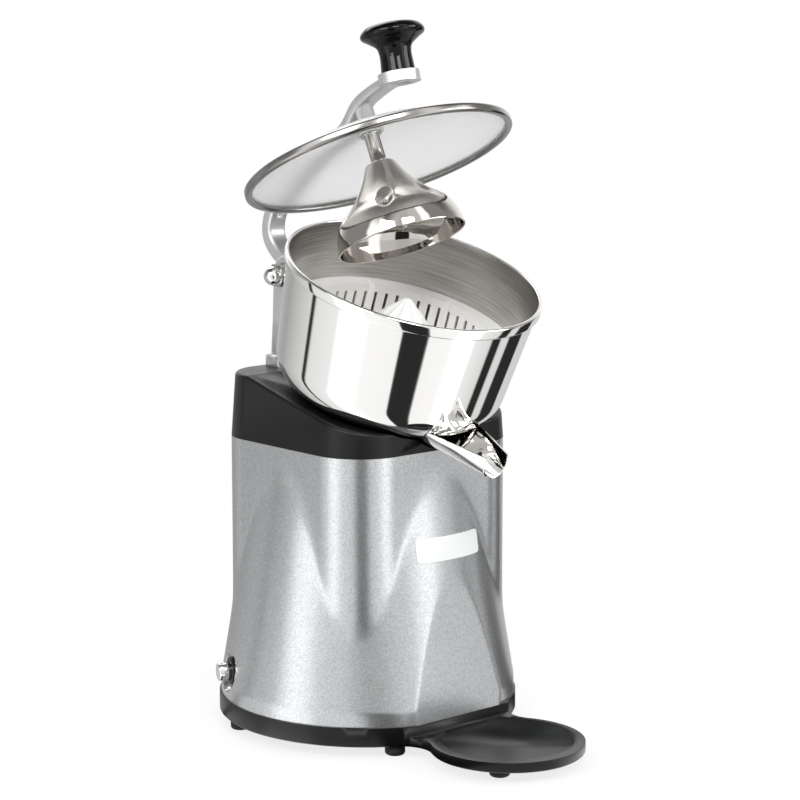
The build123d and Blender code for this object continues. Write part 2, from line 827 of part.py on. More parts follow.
with BuildPart() as upper_bearing:
    add(ring(
        bowl_level(collar_under - bearing_width), bearing_radius, shaft_radius + running_gap, bearing_width
    ))
upper_bearing.part.label = "upper_bearing"
export_step(upper_bearing.part, "parts/upper_bearing.step")

with BuildPart() as lower_bearing:
    add(ring(bowl_level(motor_foot), bearing_radius, shaft_radius + running_gap, bearing_width))
lower_bearing.part.label = "lower_bearing"
export_step(lower_bearing.part, "parts/lower_bearing.step")

with BuildPart() as stator_core:
    with BuildSketch(bowl_level(stator_foot)):
        Circle(motor_radius)
        Circle(stator_bore_radius, mode=Mode.SUBTRACT)
        with PolarLocations(motor_bolt_circle, motor_bolt_count, start_angle=45):
            Circle(motor_bolt_radius + hand_gap, mode=Mode.SUBTRACT)
    extrude(amount=stator_height)
stator_core.part.label = "stator_core"
export_step(stator_core.part, "parts/stator_core.step")

with BuildPart() as stator_windings:
    add(ring(bowl_level(stator_top), winding_radius, winding_inner_radius, winding_height))
    add(ring(bowl_level(stator_foot - winding_height), winding_radius, winding_inner_radius, winding_height))
stator_windings.part.label = "stator_windings"
export_step(stator_windings.part, "parts/stator_windings.step")

rotor_foot = (stator_top + stator_foot - rotor_height) / 2
with BuildPart() as rotor:
    add(ring(bowl_level(rotor_foot), stator_bore_radius - air_gap, shaft_radius, rotor_height))
rotor.part.label = "rotor"
export_step(rotor.part, "parts/rotor.step")

with BuildPart() as cooling_fan:
    with BuildSketch(bowl_level(fan_top - fan_height)):
        Circle(fan_radius)
    extrude(amount=fan_blade_thickness)
    with BuildSketch(bowl_level(fan_top - fan_height)):
        with PolarLocations((fan_radius + fan_hub_radius) / 2, fan_blades):
            Rectangle(fan_radius - fan_hub_radius + fan_blade_thickness, fan_blade_thickness)
        Circle(fan_hub_radius)
    extrude(amount=fan_height)
    with BuildSketch(bowl_level(fan_top)):
        Circle(fan_radius)
    extrude(amount=-fan_height, mode=Mode.INTERSECT)
    with BuildSketch(bowl_level(fan_top)):
        Circle(shaft_radius)
    extrude(amount=-fan_height, mode=Mode.SUBTRACT)
cooling_fan.part.label = "cooling_fan"
export_step(cooling_fan.part, "parts/cooling_fan.step")

with BuildPart() as motor_bolts:
    with BuildSketch(bowl_level(motor_foot)):
        with PolarLocations(motor_bolt_circle, motor_bolt_count, start_angle=45):
            Circle(motor_bolt_radius)
    extrude(amount=collar_under - motor_foot + motor_bolt_grip)
    with BuildSketch(bowl_level(motor_foot)):
        with PolarLocations(motor_bolt_circle, motor_bolt_count, start_angle=45):
            RegularPolygon(motor_bolt_head_radius, 6)
    extrude(amount=-motor_bolt_head)
motor_bolts.part.label = "motor_bolts"
export_step(motor_bolts.part, "parts/motor_bolts.step")

# Hinge column: a casting that stands on the collar and forks round the lever's hub
collar_top = body_top + collar_back_height
fork_half_gap = column_half_width - ear_thickness
with BuildPart() as column:
    with BuildSketch(side_plane(0)):
        with BuildLine():
            Polyline(
                (column_foot_front, collar_top),
                (column_foot_back, collar_top),
                (column_waist_back, hinge_height - column_waist_drop),
                (column_shoulder_back, hinge_height),
                (hinge_back - ear_radius, hinge_height),
                (column_foot_front, hinge_height - 2 * ear_radius),
                close=True,
            )
        make_face()
        with Locations((hinge_back, hinge_height)):
            Circle(ear_radius)
        with Locations((column_shoulder_back - ear_radius, hinge_height)):
            Circle(ear_radius)
    extrude(amount=column_half_width, both=True)
    column_sides = column.faces().filter_by(Axis.X).edges()
    column_top = hinge_height + lever_rise
    fillet(column_sides.filter_by_position(Axis.Z, collar_top + column_round, column_top), column_round)
    with BuildSketch(deck(collar_top)):
        with Locations((0, (column_foot_front + column_foot_back) / 2)):
            RectangleRounded(
                2 * column_foot_half_width, column_foot_back - column_foot_front, column_foot_thickness
            )
    extrude(amount=column_foot_thickness)
    with BuildSketch(deck(hinge_height - column_slot_floor)):
        with Locations((0, hinge_back)):
            Rectangle(2 * fork_half_gap, 2 * base_radius)
    extrude(amount=2 * column_slot_floor + ear_radius, mode=Mode.SUBTRACT)
    with BuildSketch(side_plane(0)):
        with Locations((hinge_back, hinge_height)):
            Circle(bolt_radius + running_gap)
    extrude(amount=column_half_width, both=True, mode=Mode.SUBTRACT)
    with BuildSketch(deck(collar_top)):
        with Locations((0, (column_foot_front + column_foot_back) / 2)):
            with GridLocations(2 * column_screw_half_pitch, 0, 2, 1):
                Circle(column_screw_radius + thread_gap)
    extrude(amount=column_screw_length - collar_roof + thread_gap, mode=Mode.SUBTRACT)
column.part.label = "column"
export_step(column.part, "parts/column.step")

with BuildPart() as column_screws:
    with BuildSketch(deck(collar_top - collar_roof)):
        with Locations((0, (column_foot_front + column_foot_back) / 2)):
            with GridLocations(2 * column_screw_half_pitch, 0, 2, 1):
                Circle(column_screw_radius)
    extrude(amount=column_screw_length)
    with BuildSketch(deck(collar_top - collar_roof)):
        with Locations((0, (column_foot_front + column_foot_back) / 2)):
            with GridLocations(2 * column_screw_half_pitch, 0, 2, 1):
                RegularPolygon(column_screw_head_radius, 6)
    extrude(amount=-column_screw_head)
column_screws.part.label = "column_screws"
export_step(column_screws.part, "parts/column_screws.step")


def hinge_face(place):
    """Upright plane square to the hinge axis and centred on it; local z points to +X."""
    return Plane((place, hinge_centre[1], hinge_height), x_dir=(0, 1, 0), z_dir=(1, 0, 0))


# Hinge: bolt with its head on the right, washers, domed nut on the left, bushes and spring in the hub
bolt_seat = column_half_width + washer_thickness
hub_half_width = fork_half_gap - moving_gap - bush_flange
with BuildPart() as hinge_bolt:
    with BuildSketch(hinge_face(-bolt_seat - nut_hex_thickness + moving_gap)):
        Circle(bolt_radius)
    extrude(amount=2 * bolt_seat + nut_hex_thickness - moving_gap)
    with BuildSketch(hinge_face(bolt_seat)):
        RegularPolygon(bolt_head_across / 2, 6, major_radius=False)
    extrude(amount=bolt_head_thickness)
hinge_bolt.part.label = "hinge_bolt"
export_step(hinge_bolt.part, "parts/hinge_bolt.step")

with BuildPart() as hinge_washers:
    add(ring(hinge_face(column_half_width), washer_radius, bolt_radius + thread_gap, washer_thickness))
    add(ring(hinge_face(-bolt_seat), washer_radius, bolt_radius + thread_gap, washer_thickness))
hinge_washers.part.label = "hinge_washers"
export_step(hinge_washers.part, "parts/hinge_washers.step")

with BuildPart() as hinge_nut:
    with BuildSketch(hinge_face(-bolt_seat)):
        RegularPolygon(nut_across / 2, 6, major_radius=False)
    extrude(amount=-nut_hex_thickness)
    with BuildSketch(hinge_face(-bolt_seat - nut_hex_thickness)):
        Circle(nut_dome_radius)
    extrude(amount=-nut_dome_length)
    fillet(hinge_nut.faces().sort_by(Axis.X)[0].edges(), nut_dome_radius - running_gap)
    with BuildSketch(hinge_face(-bolt_seat)):
        Circle(bolt_radius + thread_gap)
    extrude(amount=-nut_hex_thickness, mode=Mode.SUBTRACT)
hinge_nut.part.label = "hinge_nut"
export_step(hinge_nut.part, "parts/hinge_nut.step")

with BuildPart() as hinge_bushes:
    for side in (-1, 1):
        with BuildSketch(hinge_face(side * hub_half_width)):
            Circle(bush_flange_radius)
        extrude(amount=side * bush_flange)
        with BuildSketch(hinge_face(side * hub_half_width)):
            Circle(bush_radius)
        extrude(amount=-side * bush_length)
    with BuildSketch(hinge_face(-column_half_width)):
        Circle(bolt_radius + running_gap)
    extrude(amount=2 * column_half_width, mode=Mode.SUBTRACT)
hinge_bushes.part.label = "hinge_bushes"
export_step(hinge_bushes.part, "parts/hinge_bushes.step")

spring_half_length = hub_half_width - bush_length
with BuildPart() as return_spring:
    add(ring(
        hinge_face(-spring_half_length),
        bush_radius - hand_gap,
        bolt_radius + moving_gap,
        2 * spring_half_length,
    ))
return_spring.part.label = "return_spring"
export_step(return_spring.part, "parts/return_spring.step")


def shifted(points, distances):
    """Line of points moved sideways to its left, each point by its own distance."""
    moved = []
    for place, point in enumerate(points):
        before = points[max(place - 1, 0)]
        after = points[min(place + 1, len(points) - 1)]
        run = (after[0] - before[0], after[1] - before[1])
        share = distances[place] / hypot(*run)
        moved.append((point[0] - share * run[1], point[1] + share * run[0]))
    return moved


# Lever arm: a bent casting from the hinge hub to the pad under the knob
lever_line = []
lever_halves = []
for back_share, up_share, thickness_share in zip(lever_back_shares, lever_up_shares, lever_thickness_shares):
    lever_line.append((hinge_back + lever_reach * back_share, hinge_height + lever_rise * up_share))
    lever_halves.append(lever_thickness / 2 * thickness_share)
lever_inside = shifted(lever_line, lever_halves)
lever_outside = shifted(lever_line, [-half for half in lever_halves])
channel_floor = shifted(lever_line, [half - lever_channel_depth for half in lever_halves])
channel_mouth = shifted(lever_line, [half + overrun for half in lever_halves])
pad_under = -pad_thickness / 2
with BuildPart() as lever_arm:
    with BuildSketch(side_plane(0)):
        with BuildLine():
            Spline(*lever_inside)
            Spline(*lever_outside)
            Line(lever_inside[0], lever_outside[0])
            Line(lever_inside[-1], lever_outside[-1])
        make_face()
    extrude(amount=lever_width / 2, both=True)
    lever_sides = lever_arm.faces().filter_by(Axis.X).edges()
    fillet(lever_sides.filter_by(GeomType.BSPLINE), lever_round)
    with BuildSketch(side_plane(0)):
        with BuildLine():
            Spline(*channel_floor[channel_start_count:channel_end_count])
            Spline(*channel_mouth[channel_start_count:channel_end_count])
            Line(channel_floor[channel_start_count], channel_mouth[channel_start_count])
            Line(channel_floor[channel_end_count - 1], channel_mouth[channel_end_count - 1])
        make_face()
    extrude(amount=lever_channel_width / 2, both=True, mode=Mode.SUBTRACT)
    with BuildSketch(hinge_face(-hub_half_width)):
        Circle(hub_radius)
    extrude(amount=2 * hub_half_width)
    with BuildSketch(cross_plane(pad_centre, pad_lean, pad_under)):
        Circle(pad_radius)
    extrude(amount=pad_thickness)
    with BuildSketch(press_level(rod_top + hand_gap + lever_roof - boss_length)):
        Circle(boss_radius)
    extrude(amount=boss_length)
    with BuildSketch(hinge_face(-hub_half_width)):
        Circle(bush_radius)
    extrude(amount=2 * hub_half_width, mode=Mode.SUBTRACT)
    with BuildSketch(press_level(0)):
        Circle(rod_radius + thread_gap)
    extrude(amount=rod_top + hand_gap, mode=Mode.SUBTRACT)
    with BuildSketch(Plane(along(press_datum, press_lean, grub_height), x_dir=(0, 1, 0), z_dir=(1, 0, 0))):
        Circle(grub_radius + thread_gap)
    extrude(amount=lever_width, mode=Mode.SUBTRACT)
    with BuildSketch(cross_plane(pad_centre, pad_lean, pad_under)):
        Circle(knob_screw_radius + thread_gap)
    extrude(amount=pad_thickness, mode=Mode.SUBTRACT)
    with BuildSketch(cross_plane(pad_centre, pad_lean, pad_under + knob_screw_recess)):
        Circle(knob_screw_recess_radius)
    extrude(amount=-pad_thickness, mode=Mode.SUBTRACT)
lever_arm.part.label = "lever_arm"
export_step(lever_arm.part, "parts/lever_arm.step")

with BuildPart() as knob:
    knob_centre = along(pad_centre, pad_lean, pad_thickness / 2)
    outline = []
    for radius_share, height_share in zip(knob_radius_shares, knob_height_shares):
        outline.append((knob_head_radius * radius_share, knob_height * height_share))
    with BuildSketch(turn_plane(knob_centre, pad_lean)):
        with BuildLine():
            Polyline((0, knob_height), (0, 0), (knob_foot_radius, 0), outline[0])
            Spline(*outline)
        make_face()
    revolve(axis=lean_axis(knob_centre, pad_lean))
    with BuildSketch(cross_plane(knob_centre, pad_lean)):
        Circle(knob_screw_radius + thread_gap)
    extrude(amount=knob_screw_grip + thread_gap, mode=Mode.SUBTRACT)
knob.part.label = "knob"
export_step(knob.part, "parts/knob.step")

with BuildPart() as knob_screw:
    with BuildSketch(cross_plane(pad_centre, pad_lean, pad_under + knob_screw_recess)):
        Circle(knob_screw_radius)
    extrude(amount=pad_thickness - knob_screw_recess + knob_screw_grip)
    with BuildSketch(cross_plane(pad_centre, pad_lean, pad_under + knob_screw_recess)):
        Circle(knob_screw_head_radius)
    extrude(amount=-knob_screw_head)
knob_screw.part.label = "knob_screw"
export_step(knob_screw.part, "parts/knob_screw.step")

with BuildPart() as press_rod:
    with BuildSketch(press_level(rod_foot)):
        Circle(rod_radius)
    extrude(amount=rod_top - rod_foot)
    with BuildSketch(press_level(pane_crown - moving_gap - grommet_lip - moving_gap)):
        Circle(rod_collar_radius)
    extrude(amount=-rod_collar)
press_rod.part.label = "press_rod"
export_step(press_rod.part, "parts/press_rod.step")

with BuildPart() as rod_grub_screw:
    grub_centre = along(press_datum, press_lean, grub_height)
    with BuildSketch(Plane(grub_centre, x_dir=(0, 1, 0), z_dir=(1, 0, 0)).offset(rod_radius + thread_gap)):
        Circle(grub_radius)
    extrude(amount=grub_length)
rod_grub_screw.part.label = "rod_grub_screw"
export_step(rod_grub_screw.part, "parts/rod_grub_screw.step")

# Lid: domed glass pane in a rolled steel ring, loose on the rod in a rubber grommet
with BuildPart() as lid_ring:
    with BuildSketch(turn_plane(press_datum, press_lean)) as section:
        with Locations((lid_radius, lid_ring_above - lid_drop)):
            Rectangle(lid_ring_width, lid_ring_above - lid_ring_foot, align=(Align.MAX, Align.MAX))
        fillet(section.vertices(), lid_ring_round)
        with Locations((dome_radius + lid_grip + hand_gap, pane_foot + pane_thickness / 2)):
            Rectangle(
                lid_ring_width,
                pane_thickness + 2 * thread_gap,
                align=(Align.MAX, Align.CENTER),
                mode=Mode.SUBTRACT,
            )
    revolve(axis=press_axis)
lid_ring.part.label = "lid_ring"
export_step(lid_ring.part, "parts/lid_ring.step")


def pane_spot(radius, lift):
    """Point of the dome at a distance from the axis, lifted from its underside."""
    return (radius, pane_crown - dome_ball_radius + sqrt(dome_ball_radius**2 - radius**2) + lift)


with BuildPart() as lid_pane:
    with BuildSketch(turn_plane(press_datum, press_lean)):
        with BuildLine():
            for lift in (0, pane_thickness):
                radii = (pane_hole_radius, dome_radius / 2, dome_radius)
                ThreePointArc(*(pane_spot(radius, lift) for radius in radii))
            Line(pane_spot(pane_hole_radius, 0), pane_spot(pane_hole_radius, pane_thickness))
            Polyline(
                pane_spot(dome_radius, 0),
                (dome_radius + lid_grip, pane_foot),
                (dome_radius + lid_grip, pane_foot + pane_thickness),
                pane_spot(dome_radius, pane_thickness),
            )
        make_face()
    revolve(axis=press_axis)
lid_pane.part.label = "lid_pane"
export_step(lid_pane.part, "parts/lid_pane.step")

with BuildPart() as lid_grommet:
    bore = rod_radius + moving_gap
    lip_top = pane_crown - moving_gap
    collar_foot = pane_crown + pane_thickness
    add(ring(press_level(lip_top - grommet_lip), grommet_radius, bore, grommet_lip))
    add(ring(press_level(lip_top), pane_hole_radius - thread_gap, bore, collar_foot - lip_top))
    add(ring(press_level(collar_foot), grommet_radius, bore, grommet_collar))
lid_grommet.part.label = "lid_grommet"
export_step(lid_grommet.part, "parts/lid_grommet.step")

# Press bell: spun from sheet, with a solid neck on the rod and oval dents that grip the fruit
bell_depth = bell_rim_drop - bell_neck_drop
bell_line = []
for radius_share, drop_share in zip(bell_radius_shares, bell_drop_shares):
    bell_line.append((bell_radius * radius_share, -bell_neck_drop - bell_depth * drop_share))
bell_lining = [spot for spot in shifted(bell_line, [-bell_wall] * len(bell_line)) if spot[1] < -bell_roof]
with BuildPart() as bell_outside:
    with BuildSketch(turn_plane(press_datum, press_lean)):
        with BuildLine():
            Spline(*bell_line)
            Polyline(
                bell_line[-1],
                (bell_radius, -bell_rim_drop),
                (0, -bell_rim_drop),
                (0, -bell_neck_drop),
                (bell_neck_radius, -bell_neck_drop),
                bell_line[0],
            )
        make_face()
    revolve(axis=press_axis)
with BuildPart() as bell_inside:
    with BuildSketch(turn_plane(press_datum, press_lean)):
        with BuildLine():
            Spline(*bell_lining)
            Polyline(
                bell_lining[-1],
                (bell_radius - bell_wall, -bell_rim_drop),
                (bell_radius - bell_wall, -bell_rim_drop - overrun),
                (0, -bell_rim_drop - overrun),
                (0, -bell_roof),
                bell_lining[0],
            )
        make_face()
    revolve(axis=press_axis)


def dents(radius):
    """Capsules lying along the bell's flare."""
    with BuildPart() as capsules:
        with Locations(press_level(-dimple_drop)):
            with PolarLocations(dimple_reach, dimple_count):
                with Locations(Location((0, 0, 0), (0, -dimple_lean, 0))):
                    Cylinder(radius, dimple_length)
                    with Locations((0, 0, dimple_length / 2), (0, 0, -dimple_length / 2)):
                        Sphere(radius)
    return capsules.part


with BuildPart() as dent_walls:
    add(dents(dimple_radius + bell_wall))
    add(bell_outside.part, mode=Mode.INTERSECT)
with BuildPart() as press_bell:
    add(bell_outside.part)
    add(bell_inside.part, mode=Mode.SUBTRACT)
    add(dent_walls.part)
    add(dents(dimple_radius), mode=Mode.SUBTRACT)
    with BuildSketch(press_level(-bell_neck_drop)):
        Circle(rod_radius + thread_gap)
    extrude(amount=rod_foot - hand_gap + bell_neck_drop, mode=Mode.SUBTRACT)
press_bell.part.label = "press_bell"
export_step(press_bell.part, "parts/press_bell.step")


def button_level(distance):
    """Plane square to the push button's travel, measured out from its seat."""
    return skirt_plane(button_angle, button_height, button_seat + distance)


def gland_level(distance):
    """Plane square to the cable gland, measured out from its seat."""
    return skirt_plane(gland_angle, gland_height, gland_seat + distance)


# Push button: barrel with its bezel through the skirt, cap, nut and the switch behind
with BuildPart() as button_barrel:
    with BuildSketch(button_level(0)):
        Circle(bezel_radius)
    extrude(amount=bezel_height)
    fillet(button_barrel.faces().sort_by(Axis((0, 0, 0), button_level(0).z_dir))[-1].edges(), cap_edge_round)
    with BuildSketch(button_level(0)):
        Circle(barrel_radius)
    extrude(amount=-barrel_length)
    with BuildSketch(button_level(bezel_height)):
        Circle(cap_radius + moving_gap)
    extrude(amount=-bezel_height - barrel_length, mode=Mode.SUBTRACT)
button_barrel.part.label = "button_barrel"
export_step(button_barrel.part, "parts/button_barrel.step")

with BuildPart() as push_button:
    with BuildSketch(button_level(-cap_stem_length)):
        Circle(cap_radius)
    extrude(amount=cap_stem_length + cap_proud)
    fillet(push_button.faces().sort_by(Axis((0, 0, 0), button_level(0).z_dir))[-1].edges(), cap_edge_round)
push_button.part.label = "push_button"
export_step(push_button.part, "parts/push_button.step")

with BuildPart() as button_nut:
    with BuildSketch(button_level(-button_pad_thickness)):
        RegularPolygon(button_nut_radius, 6)
        Circle(barrel_radius + thread_gap, mode=Mode.SUBTRACT)
    extrude(amount=-button_nut_thickness)
button_nut.part.label = "button_nut"
export_step(button_nut.part, "parts/button_nut.step")

with BuildPart() as switch_block:
    with BuildSketch(button_level(-barrel_length)):
        Rectangle(switch_width, switch_width)
    extrude(amount=-switch_depth)
switch_block.part.label = "switch_block"
export_step(switch_block.part, "parts/switch_block.step")

# Cable gland and its lock nut
with BuildPart() as cable_gland:
    with BuildSketch(gland_level(0)):
        RegularPolygon(gland_across / 2, 6, major_radius=False)
    extrude(amount=gland_hex)
    with BuildSketch(gland_level(gland_hex)):
        Circle(gland_dome_radius)
    extrude(amount=gland_dome)
    fillet(cable_gland.faces().sort_by(Axis.Y)[-1].edges(), gland_dome - overrun)
    with BuildSketch(gland_level(0)):
        Circle(gland_thread_radius)
    extrude(amount=-gland_thread)
    with BuildSketch(gland_level(-gland_thread)):
        Circle(gland_bore_radius)
    extrude(amount=gland_thread + gland_hex + gland_dome, mode=Mode.SUBTRACT)
cable_gland.part.label = "cable_gland"
export_step(cable_gland.part, "parts/cable_gland.step")

with BuildPart() as gland_nut:
    with BuildSketch(gland_level(-button_pad_thickness)):
        RegularPolygon(gland_across / 2, 6, major_radius=False)
        Circle(gland_thread_radius + thread_gap, mode=Mode.SUBTRACT)
    extrude(amount=-gland_nut_thickness)
gland_nut.part.label = "gland_nut"
export_step(gland_nut.part, "parts/gland_nut.step")

# Run capacitor in its clip and the terminal block, on the base floor
with BuildPart() as run_capacitor:
    with BuildSketch(deck(base_inside)):
        with Locations(capacitor_spot):
            Circle(capacitor_radius)
    extrude(amount=capacitor_height)
    fillet(run_capacitor.edges().group_by(Axis.Z)[-1], clip_thickness)
run_capacitor.part.label = "run_capacitor"
export_step(run_capacitor.part, "parts/run_capacitor.step")

with BuildPart() as capacitor_clip:
    with BuildSketch(deck(base_inside)):
        with Locations(capacitor_spot):
            Rectangle(2 * (capacitor_radius + clip_foot), clip_foot)
    extrude(amount=clip_thickness)
    with BuildSketch(deck(base_inside)):
        with Locations(capacitor_spot):
            Circle(capacitor_radius + hand_gap + clip_thickness)
    extrude(amount=clip_height)
    with BuildSketch(deck(base_inside)):
        with Locations(capacitor_spot):
            Circle(capacitor_radius + hand_gap)
    extrude(amount=clip_height, mode=Mode.SUBTRACT)
capacitor_clip.part.label = "capacitor_clip"
export_step(capacitor_clip.part, "parts/capacitor_clip.step")

with BuildPart() as terminal_block:
    with BuildSketch(deck(base_inside)):
        with Locations(terminal_spot):
            Rectangle(terminal_length, terminal_width)
    extrude(amount=terminal_height)
    with BuildSketch(deck(base_inside + terminal_height)):
        with Locations(terminal_spot):
            with GridLocations(terminal_length / terminal_ways, terminal_width / 2, terminal_ways, 2):
                Circle(terminal_hole_radius)
    extrude(amount=-terminal_height / 2, mode=Mode.SUBTRACT)
terminal_block.part.label = "terminal_block"
export_step(terminal_block.part, "parts/terminal_block.step")

# Screws of the base and the collar
with BuildPart() as base_screws:
    with BuildSketch(deck(foot_height + hand_gap)):
        with PolarLocations(boss_circle, shell_boss_count, start_angle=45):
            Circle(base_screw_head_radius)
    extrude(amount=base_screw_head)
    with BuildSketch(deck(foot_height + hand_gap + base_screw_head)):
        with PolarLocations(boss_circle, shell_boss_count, start_angle=45):
            Circle(base_screw_radius)
    extrude(amount=base_screw_length)
base_screws.part.label = "base_screws"
export_step(base_screws.part, "parts/base_screws.step")

with BuildPart() as collar_screws:
    with BuildSketch(deck(body_top - deck_thickness)):
        with GridLocations(2 * collar_screw_spot, 2 * collar_screw_spot, 2, 2):
            Circle(collar_screw_radius)
    extrude(amount=collar_screw_length)
    with BuildSketch(deck(body_top - deck_thickness)):
        with GridLocations(2 * collar_screw_spot, 2 * collar_screw_spot, 2, 2):
            Circle(collar_screw_head_radius)
    extrude(amount=-collar_screw_head)
collar_screws.part.label = "collar_screws"
export_step(collar_screws.part, "parts/collar_screws.step")
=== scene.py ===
import json
import bmesh
import bpy
import numpy as np
from mathutils import Matrix, Vector


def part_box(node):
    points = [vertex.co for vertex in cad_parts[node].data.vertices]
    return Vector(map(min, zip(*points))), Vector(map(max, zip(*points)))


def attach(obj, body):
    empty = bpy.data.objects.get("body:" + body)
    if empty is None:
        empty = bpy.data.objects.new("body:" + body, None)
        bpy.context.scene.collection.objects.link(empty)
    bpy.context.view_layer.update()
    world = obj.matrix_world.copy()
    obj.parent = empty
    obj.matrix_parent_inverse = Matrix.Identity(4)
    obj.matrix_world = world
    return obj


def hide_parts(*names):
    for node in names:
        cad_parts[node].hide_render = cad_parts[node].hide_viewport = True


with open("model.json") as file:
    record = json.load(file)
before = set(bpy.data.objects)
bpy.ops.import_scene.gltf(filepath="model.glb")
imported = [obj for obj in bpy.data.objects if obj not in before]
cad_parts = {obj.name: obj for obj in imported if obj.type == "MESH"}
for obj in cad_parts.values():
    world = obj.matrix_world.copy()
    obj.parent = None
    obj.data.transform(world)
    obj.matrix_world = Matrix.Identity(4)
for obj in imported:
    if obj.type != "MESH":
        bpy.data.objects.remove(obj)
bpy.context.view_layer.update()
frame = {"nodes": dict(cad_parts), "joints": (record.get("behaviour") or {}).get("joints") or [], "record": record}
nodes = frame["nodes"]
record = frame["record"]
scene = bpy.context.scene
joints = {joint["name"]: joint for joint in frame["joints"]}
bodyOf = {node: body for body, names in record["behaviour"]["bodies"].items() for node in names}
mm = 0.001
print("frame loaded:", len(nodes), "nodes")


def linear(hexColour):  # sRGB hex to the linear colour that shaders take
    parts = [int(hexColour[i:i + 2], 16) / 255 for i in (1, 3, 5)]
    return tuple(p / 12.92 if p <= 0.04045 else ((p + 0.055) / 1.055) ** 2.4 for p in parts) + (1.0,)


def addNode(tree, kind, links=None, inputs=None, **settings):
    node = tree.nodes.new(kind)
    for name, value in settings.items():
        setattr(node, name, value)
    for socket, value in (inputs or {}).items():
        node.inputs[socket].default_value = value
    for socket, source in (links or {}).items():
        tree.links.new(source, node.inputs[socket])
    return node


def startFinish(name, **sockets):  # a Principled material with its constant sockets set
    material = bpy.data.materials.new(name)
    material.use_nodes = True
    tree = material.node_tree
    shader = tree.nodes["Principled BSDF"]
    for socket, value in sockets.items():
        shader.inputs[socket.replace("_", " ")].default_value = value
    return material, tree, shader


def perMetre(size):  # texture scale for a pattern of this size in millimetres
    return 1000 / size


def silverPaint():
    # metallic lacquer: aluminium flakes glitter as fine light and dark specks under a soft sheen
    look = {"dark": "#abadae", "light": "#c8c9cb", "flake": 0.8, "peel": 6.0, "rough": 0.29, "metal": 0.88,
            "coat": 0.1, "coatRough": 0.2, "bump": 0.1, "peelDepth": 0.08, "flakeDepth": 0.04}
    # real flakes are under 0.1 mm; they are drawn at 0.8 mm so that they show at this distance
    material, tree, shader = startFinish(
        "silver metallic lacquer", Metallic=look["metal"], Roughness=look["rough"],
        Coat_Weight=look["coat"], Coat_Roughness=look["coatRough"])
    place = addNode(tree, "ShaderNodeTexCoord").outputs["Object"]
    flakes = addNode(tree, "ShaderNodeTexVoronoi", {"Vector": place}, {"Scale": perMetre(look["flake"])})
    grey = addNode(tree, "ShaderNodeSeparateColor", {"Color": flakes.outputs["Color"]})
    ramp = addNode(tree, "ShaderNodeValToRGB", {"Fac": grey.outputs["Red"]})
    ramp.color_ramp.elements[0].color = linear(look["dark"])
    ramp.color_ramp.elements[1].color = linear(look["light"])
    tree.links.new(ramp.outputs["Color"], shader.inputs["Base Color"])
    peel = addNode(tree, "ShaderNodeTexNoise", {"Vector": place},
                   {"Scale": perMetre(look["peel"]), "Detail": 1.0})
    bump = addNode(tree, "ShaderNodeBump", {"Height": peel.outputs["Fac"]},
                   {"Strength": look["bump"], "Distance": look["peelDepth"] * mm})
    tilt = addNode(tree, "ShaderNodeBump",
                   {"Height": grey.outputs["Green"], "Normal": bump.outputs["Normal"]},
                   {"Strength": look["bump"], "Distance": look["flakeDepth"] * mm})
    tree.links.new(tilt.outputs["Normal"], shader.inputs["Normal"])
    return material


def grained(name, colour, rough, grain, depth, spread=0.08, **sockets):
    # a cast or moulded skin: even colour, fine grain that breaks up the sheen, slow drift of roughness
    look = {"drift": 22.0, "rub": 0.15, "bump": 0.3}
    material, tree, shader = startFinish(name, Roughness=rough, **sockets)
    place = addNode(tree, "ShaderNodeTexCoord").outputs["Object"]
    drift = addNode(tree, "ShaderNodeTexNoise", {"Vector": place},
                    {"Scale": perMetre(look["drift"]), "Detail": 3.0})
    tone = addNode(tree, "ShaderNodeMapRange", {"Value": drift.outputs["Fac"]},
                   {"To Min": 1.0 - spread, "To Max": 1.0 + spread})
    shade = addNode(tree, "ShaderNodeVectorMath", {"Scale": tone.outputs["Result"]},
                    {0: linear(colour)[:3]}, operation="SCALE")
    tree.links.new(shade.outputs["Vector"], shader.inputs["Base Color"])
    rub = addNode(tree, "ShaderNodeMapRange", {"Value": drift.outputs["Fac"]},
                  {"To Min": rough * (1 - look["rub"]), "To Max": rough * (1 + look["rub"])})
    tree.links.new(rub.outputs["Result"], shader.inputs["Roughness"])
    skin = addNode(tree, "ShaderNodeTexNoise", {"Vector": place}, {"Scale": perMetre(grain), "Detail": 2.0})
    bump = addNode(tree, "ShaderNodeBump", {"Height": skin.outputs["Fac"]},
                   {"Strength": look["bump"], "Distance": depth * mm})
    tree.links.new(bump.outputs["Normal"], shader.inputs["Normal"])
    return material


def polishedSteel(name, colour):
    # stainless steel buffed to a mirror: clean reflections with a trace of buffing haze
    look = {"haze": 35.0, "clear": 0.02, "dull": 0.08}
    material, tree, shader = startFinish(name, Metallic=1.0, Base_Color=linear(colour))
    place = addNode(tree, "ShaderNodeTexCoord").outputs["Object"]
    haze = addNode(tree, "ShaderNodeTexNoise", {"Vector": place},
                   {"Scale": perMetre(look["haze"]), "Detail": 4.0})
    rub = addNode(tree, "ShaderNodeMapRange", {"Value": haze.outputs["Fac"]},
                  {"To Min": look["clear"], "To Max": look["dull"]})
    tree.links.new(rub.outputs["Result"], shader.inputs["Roughness"])
    return material


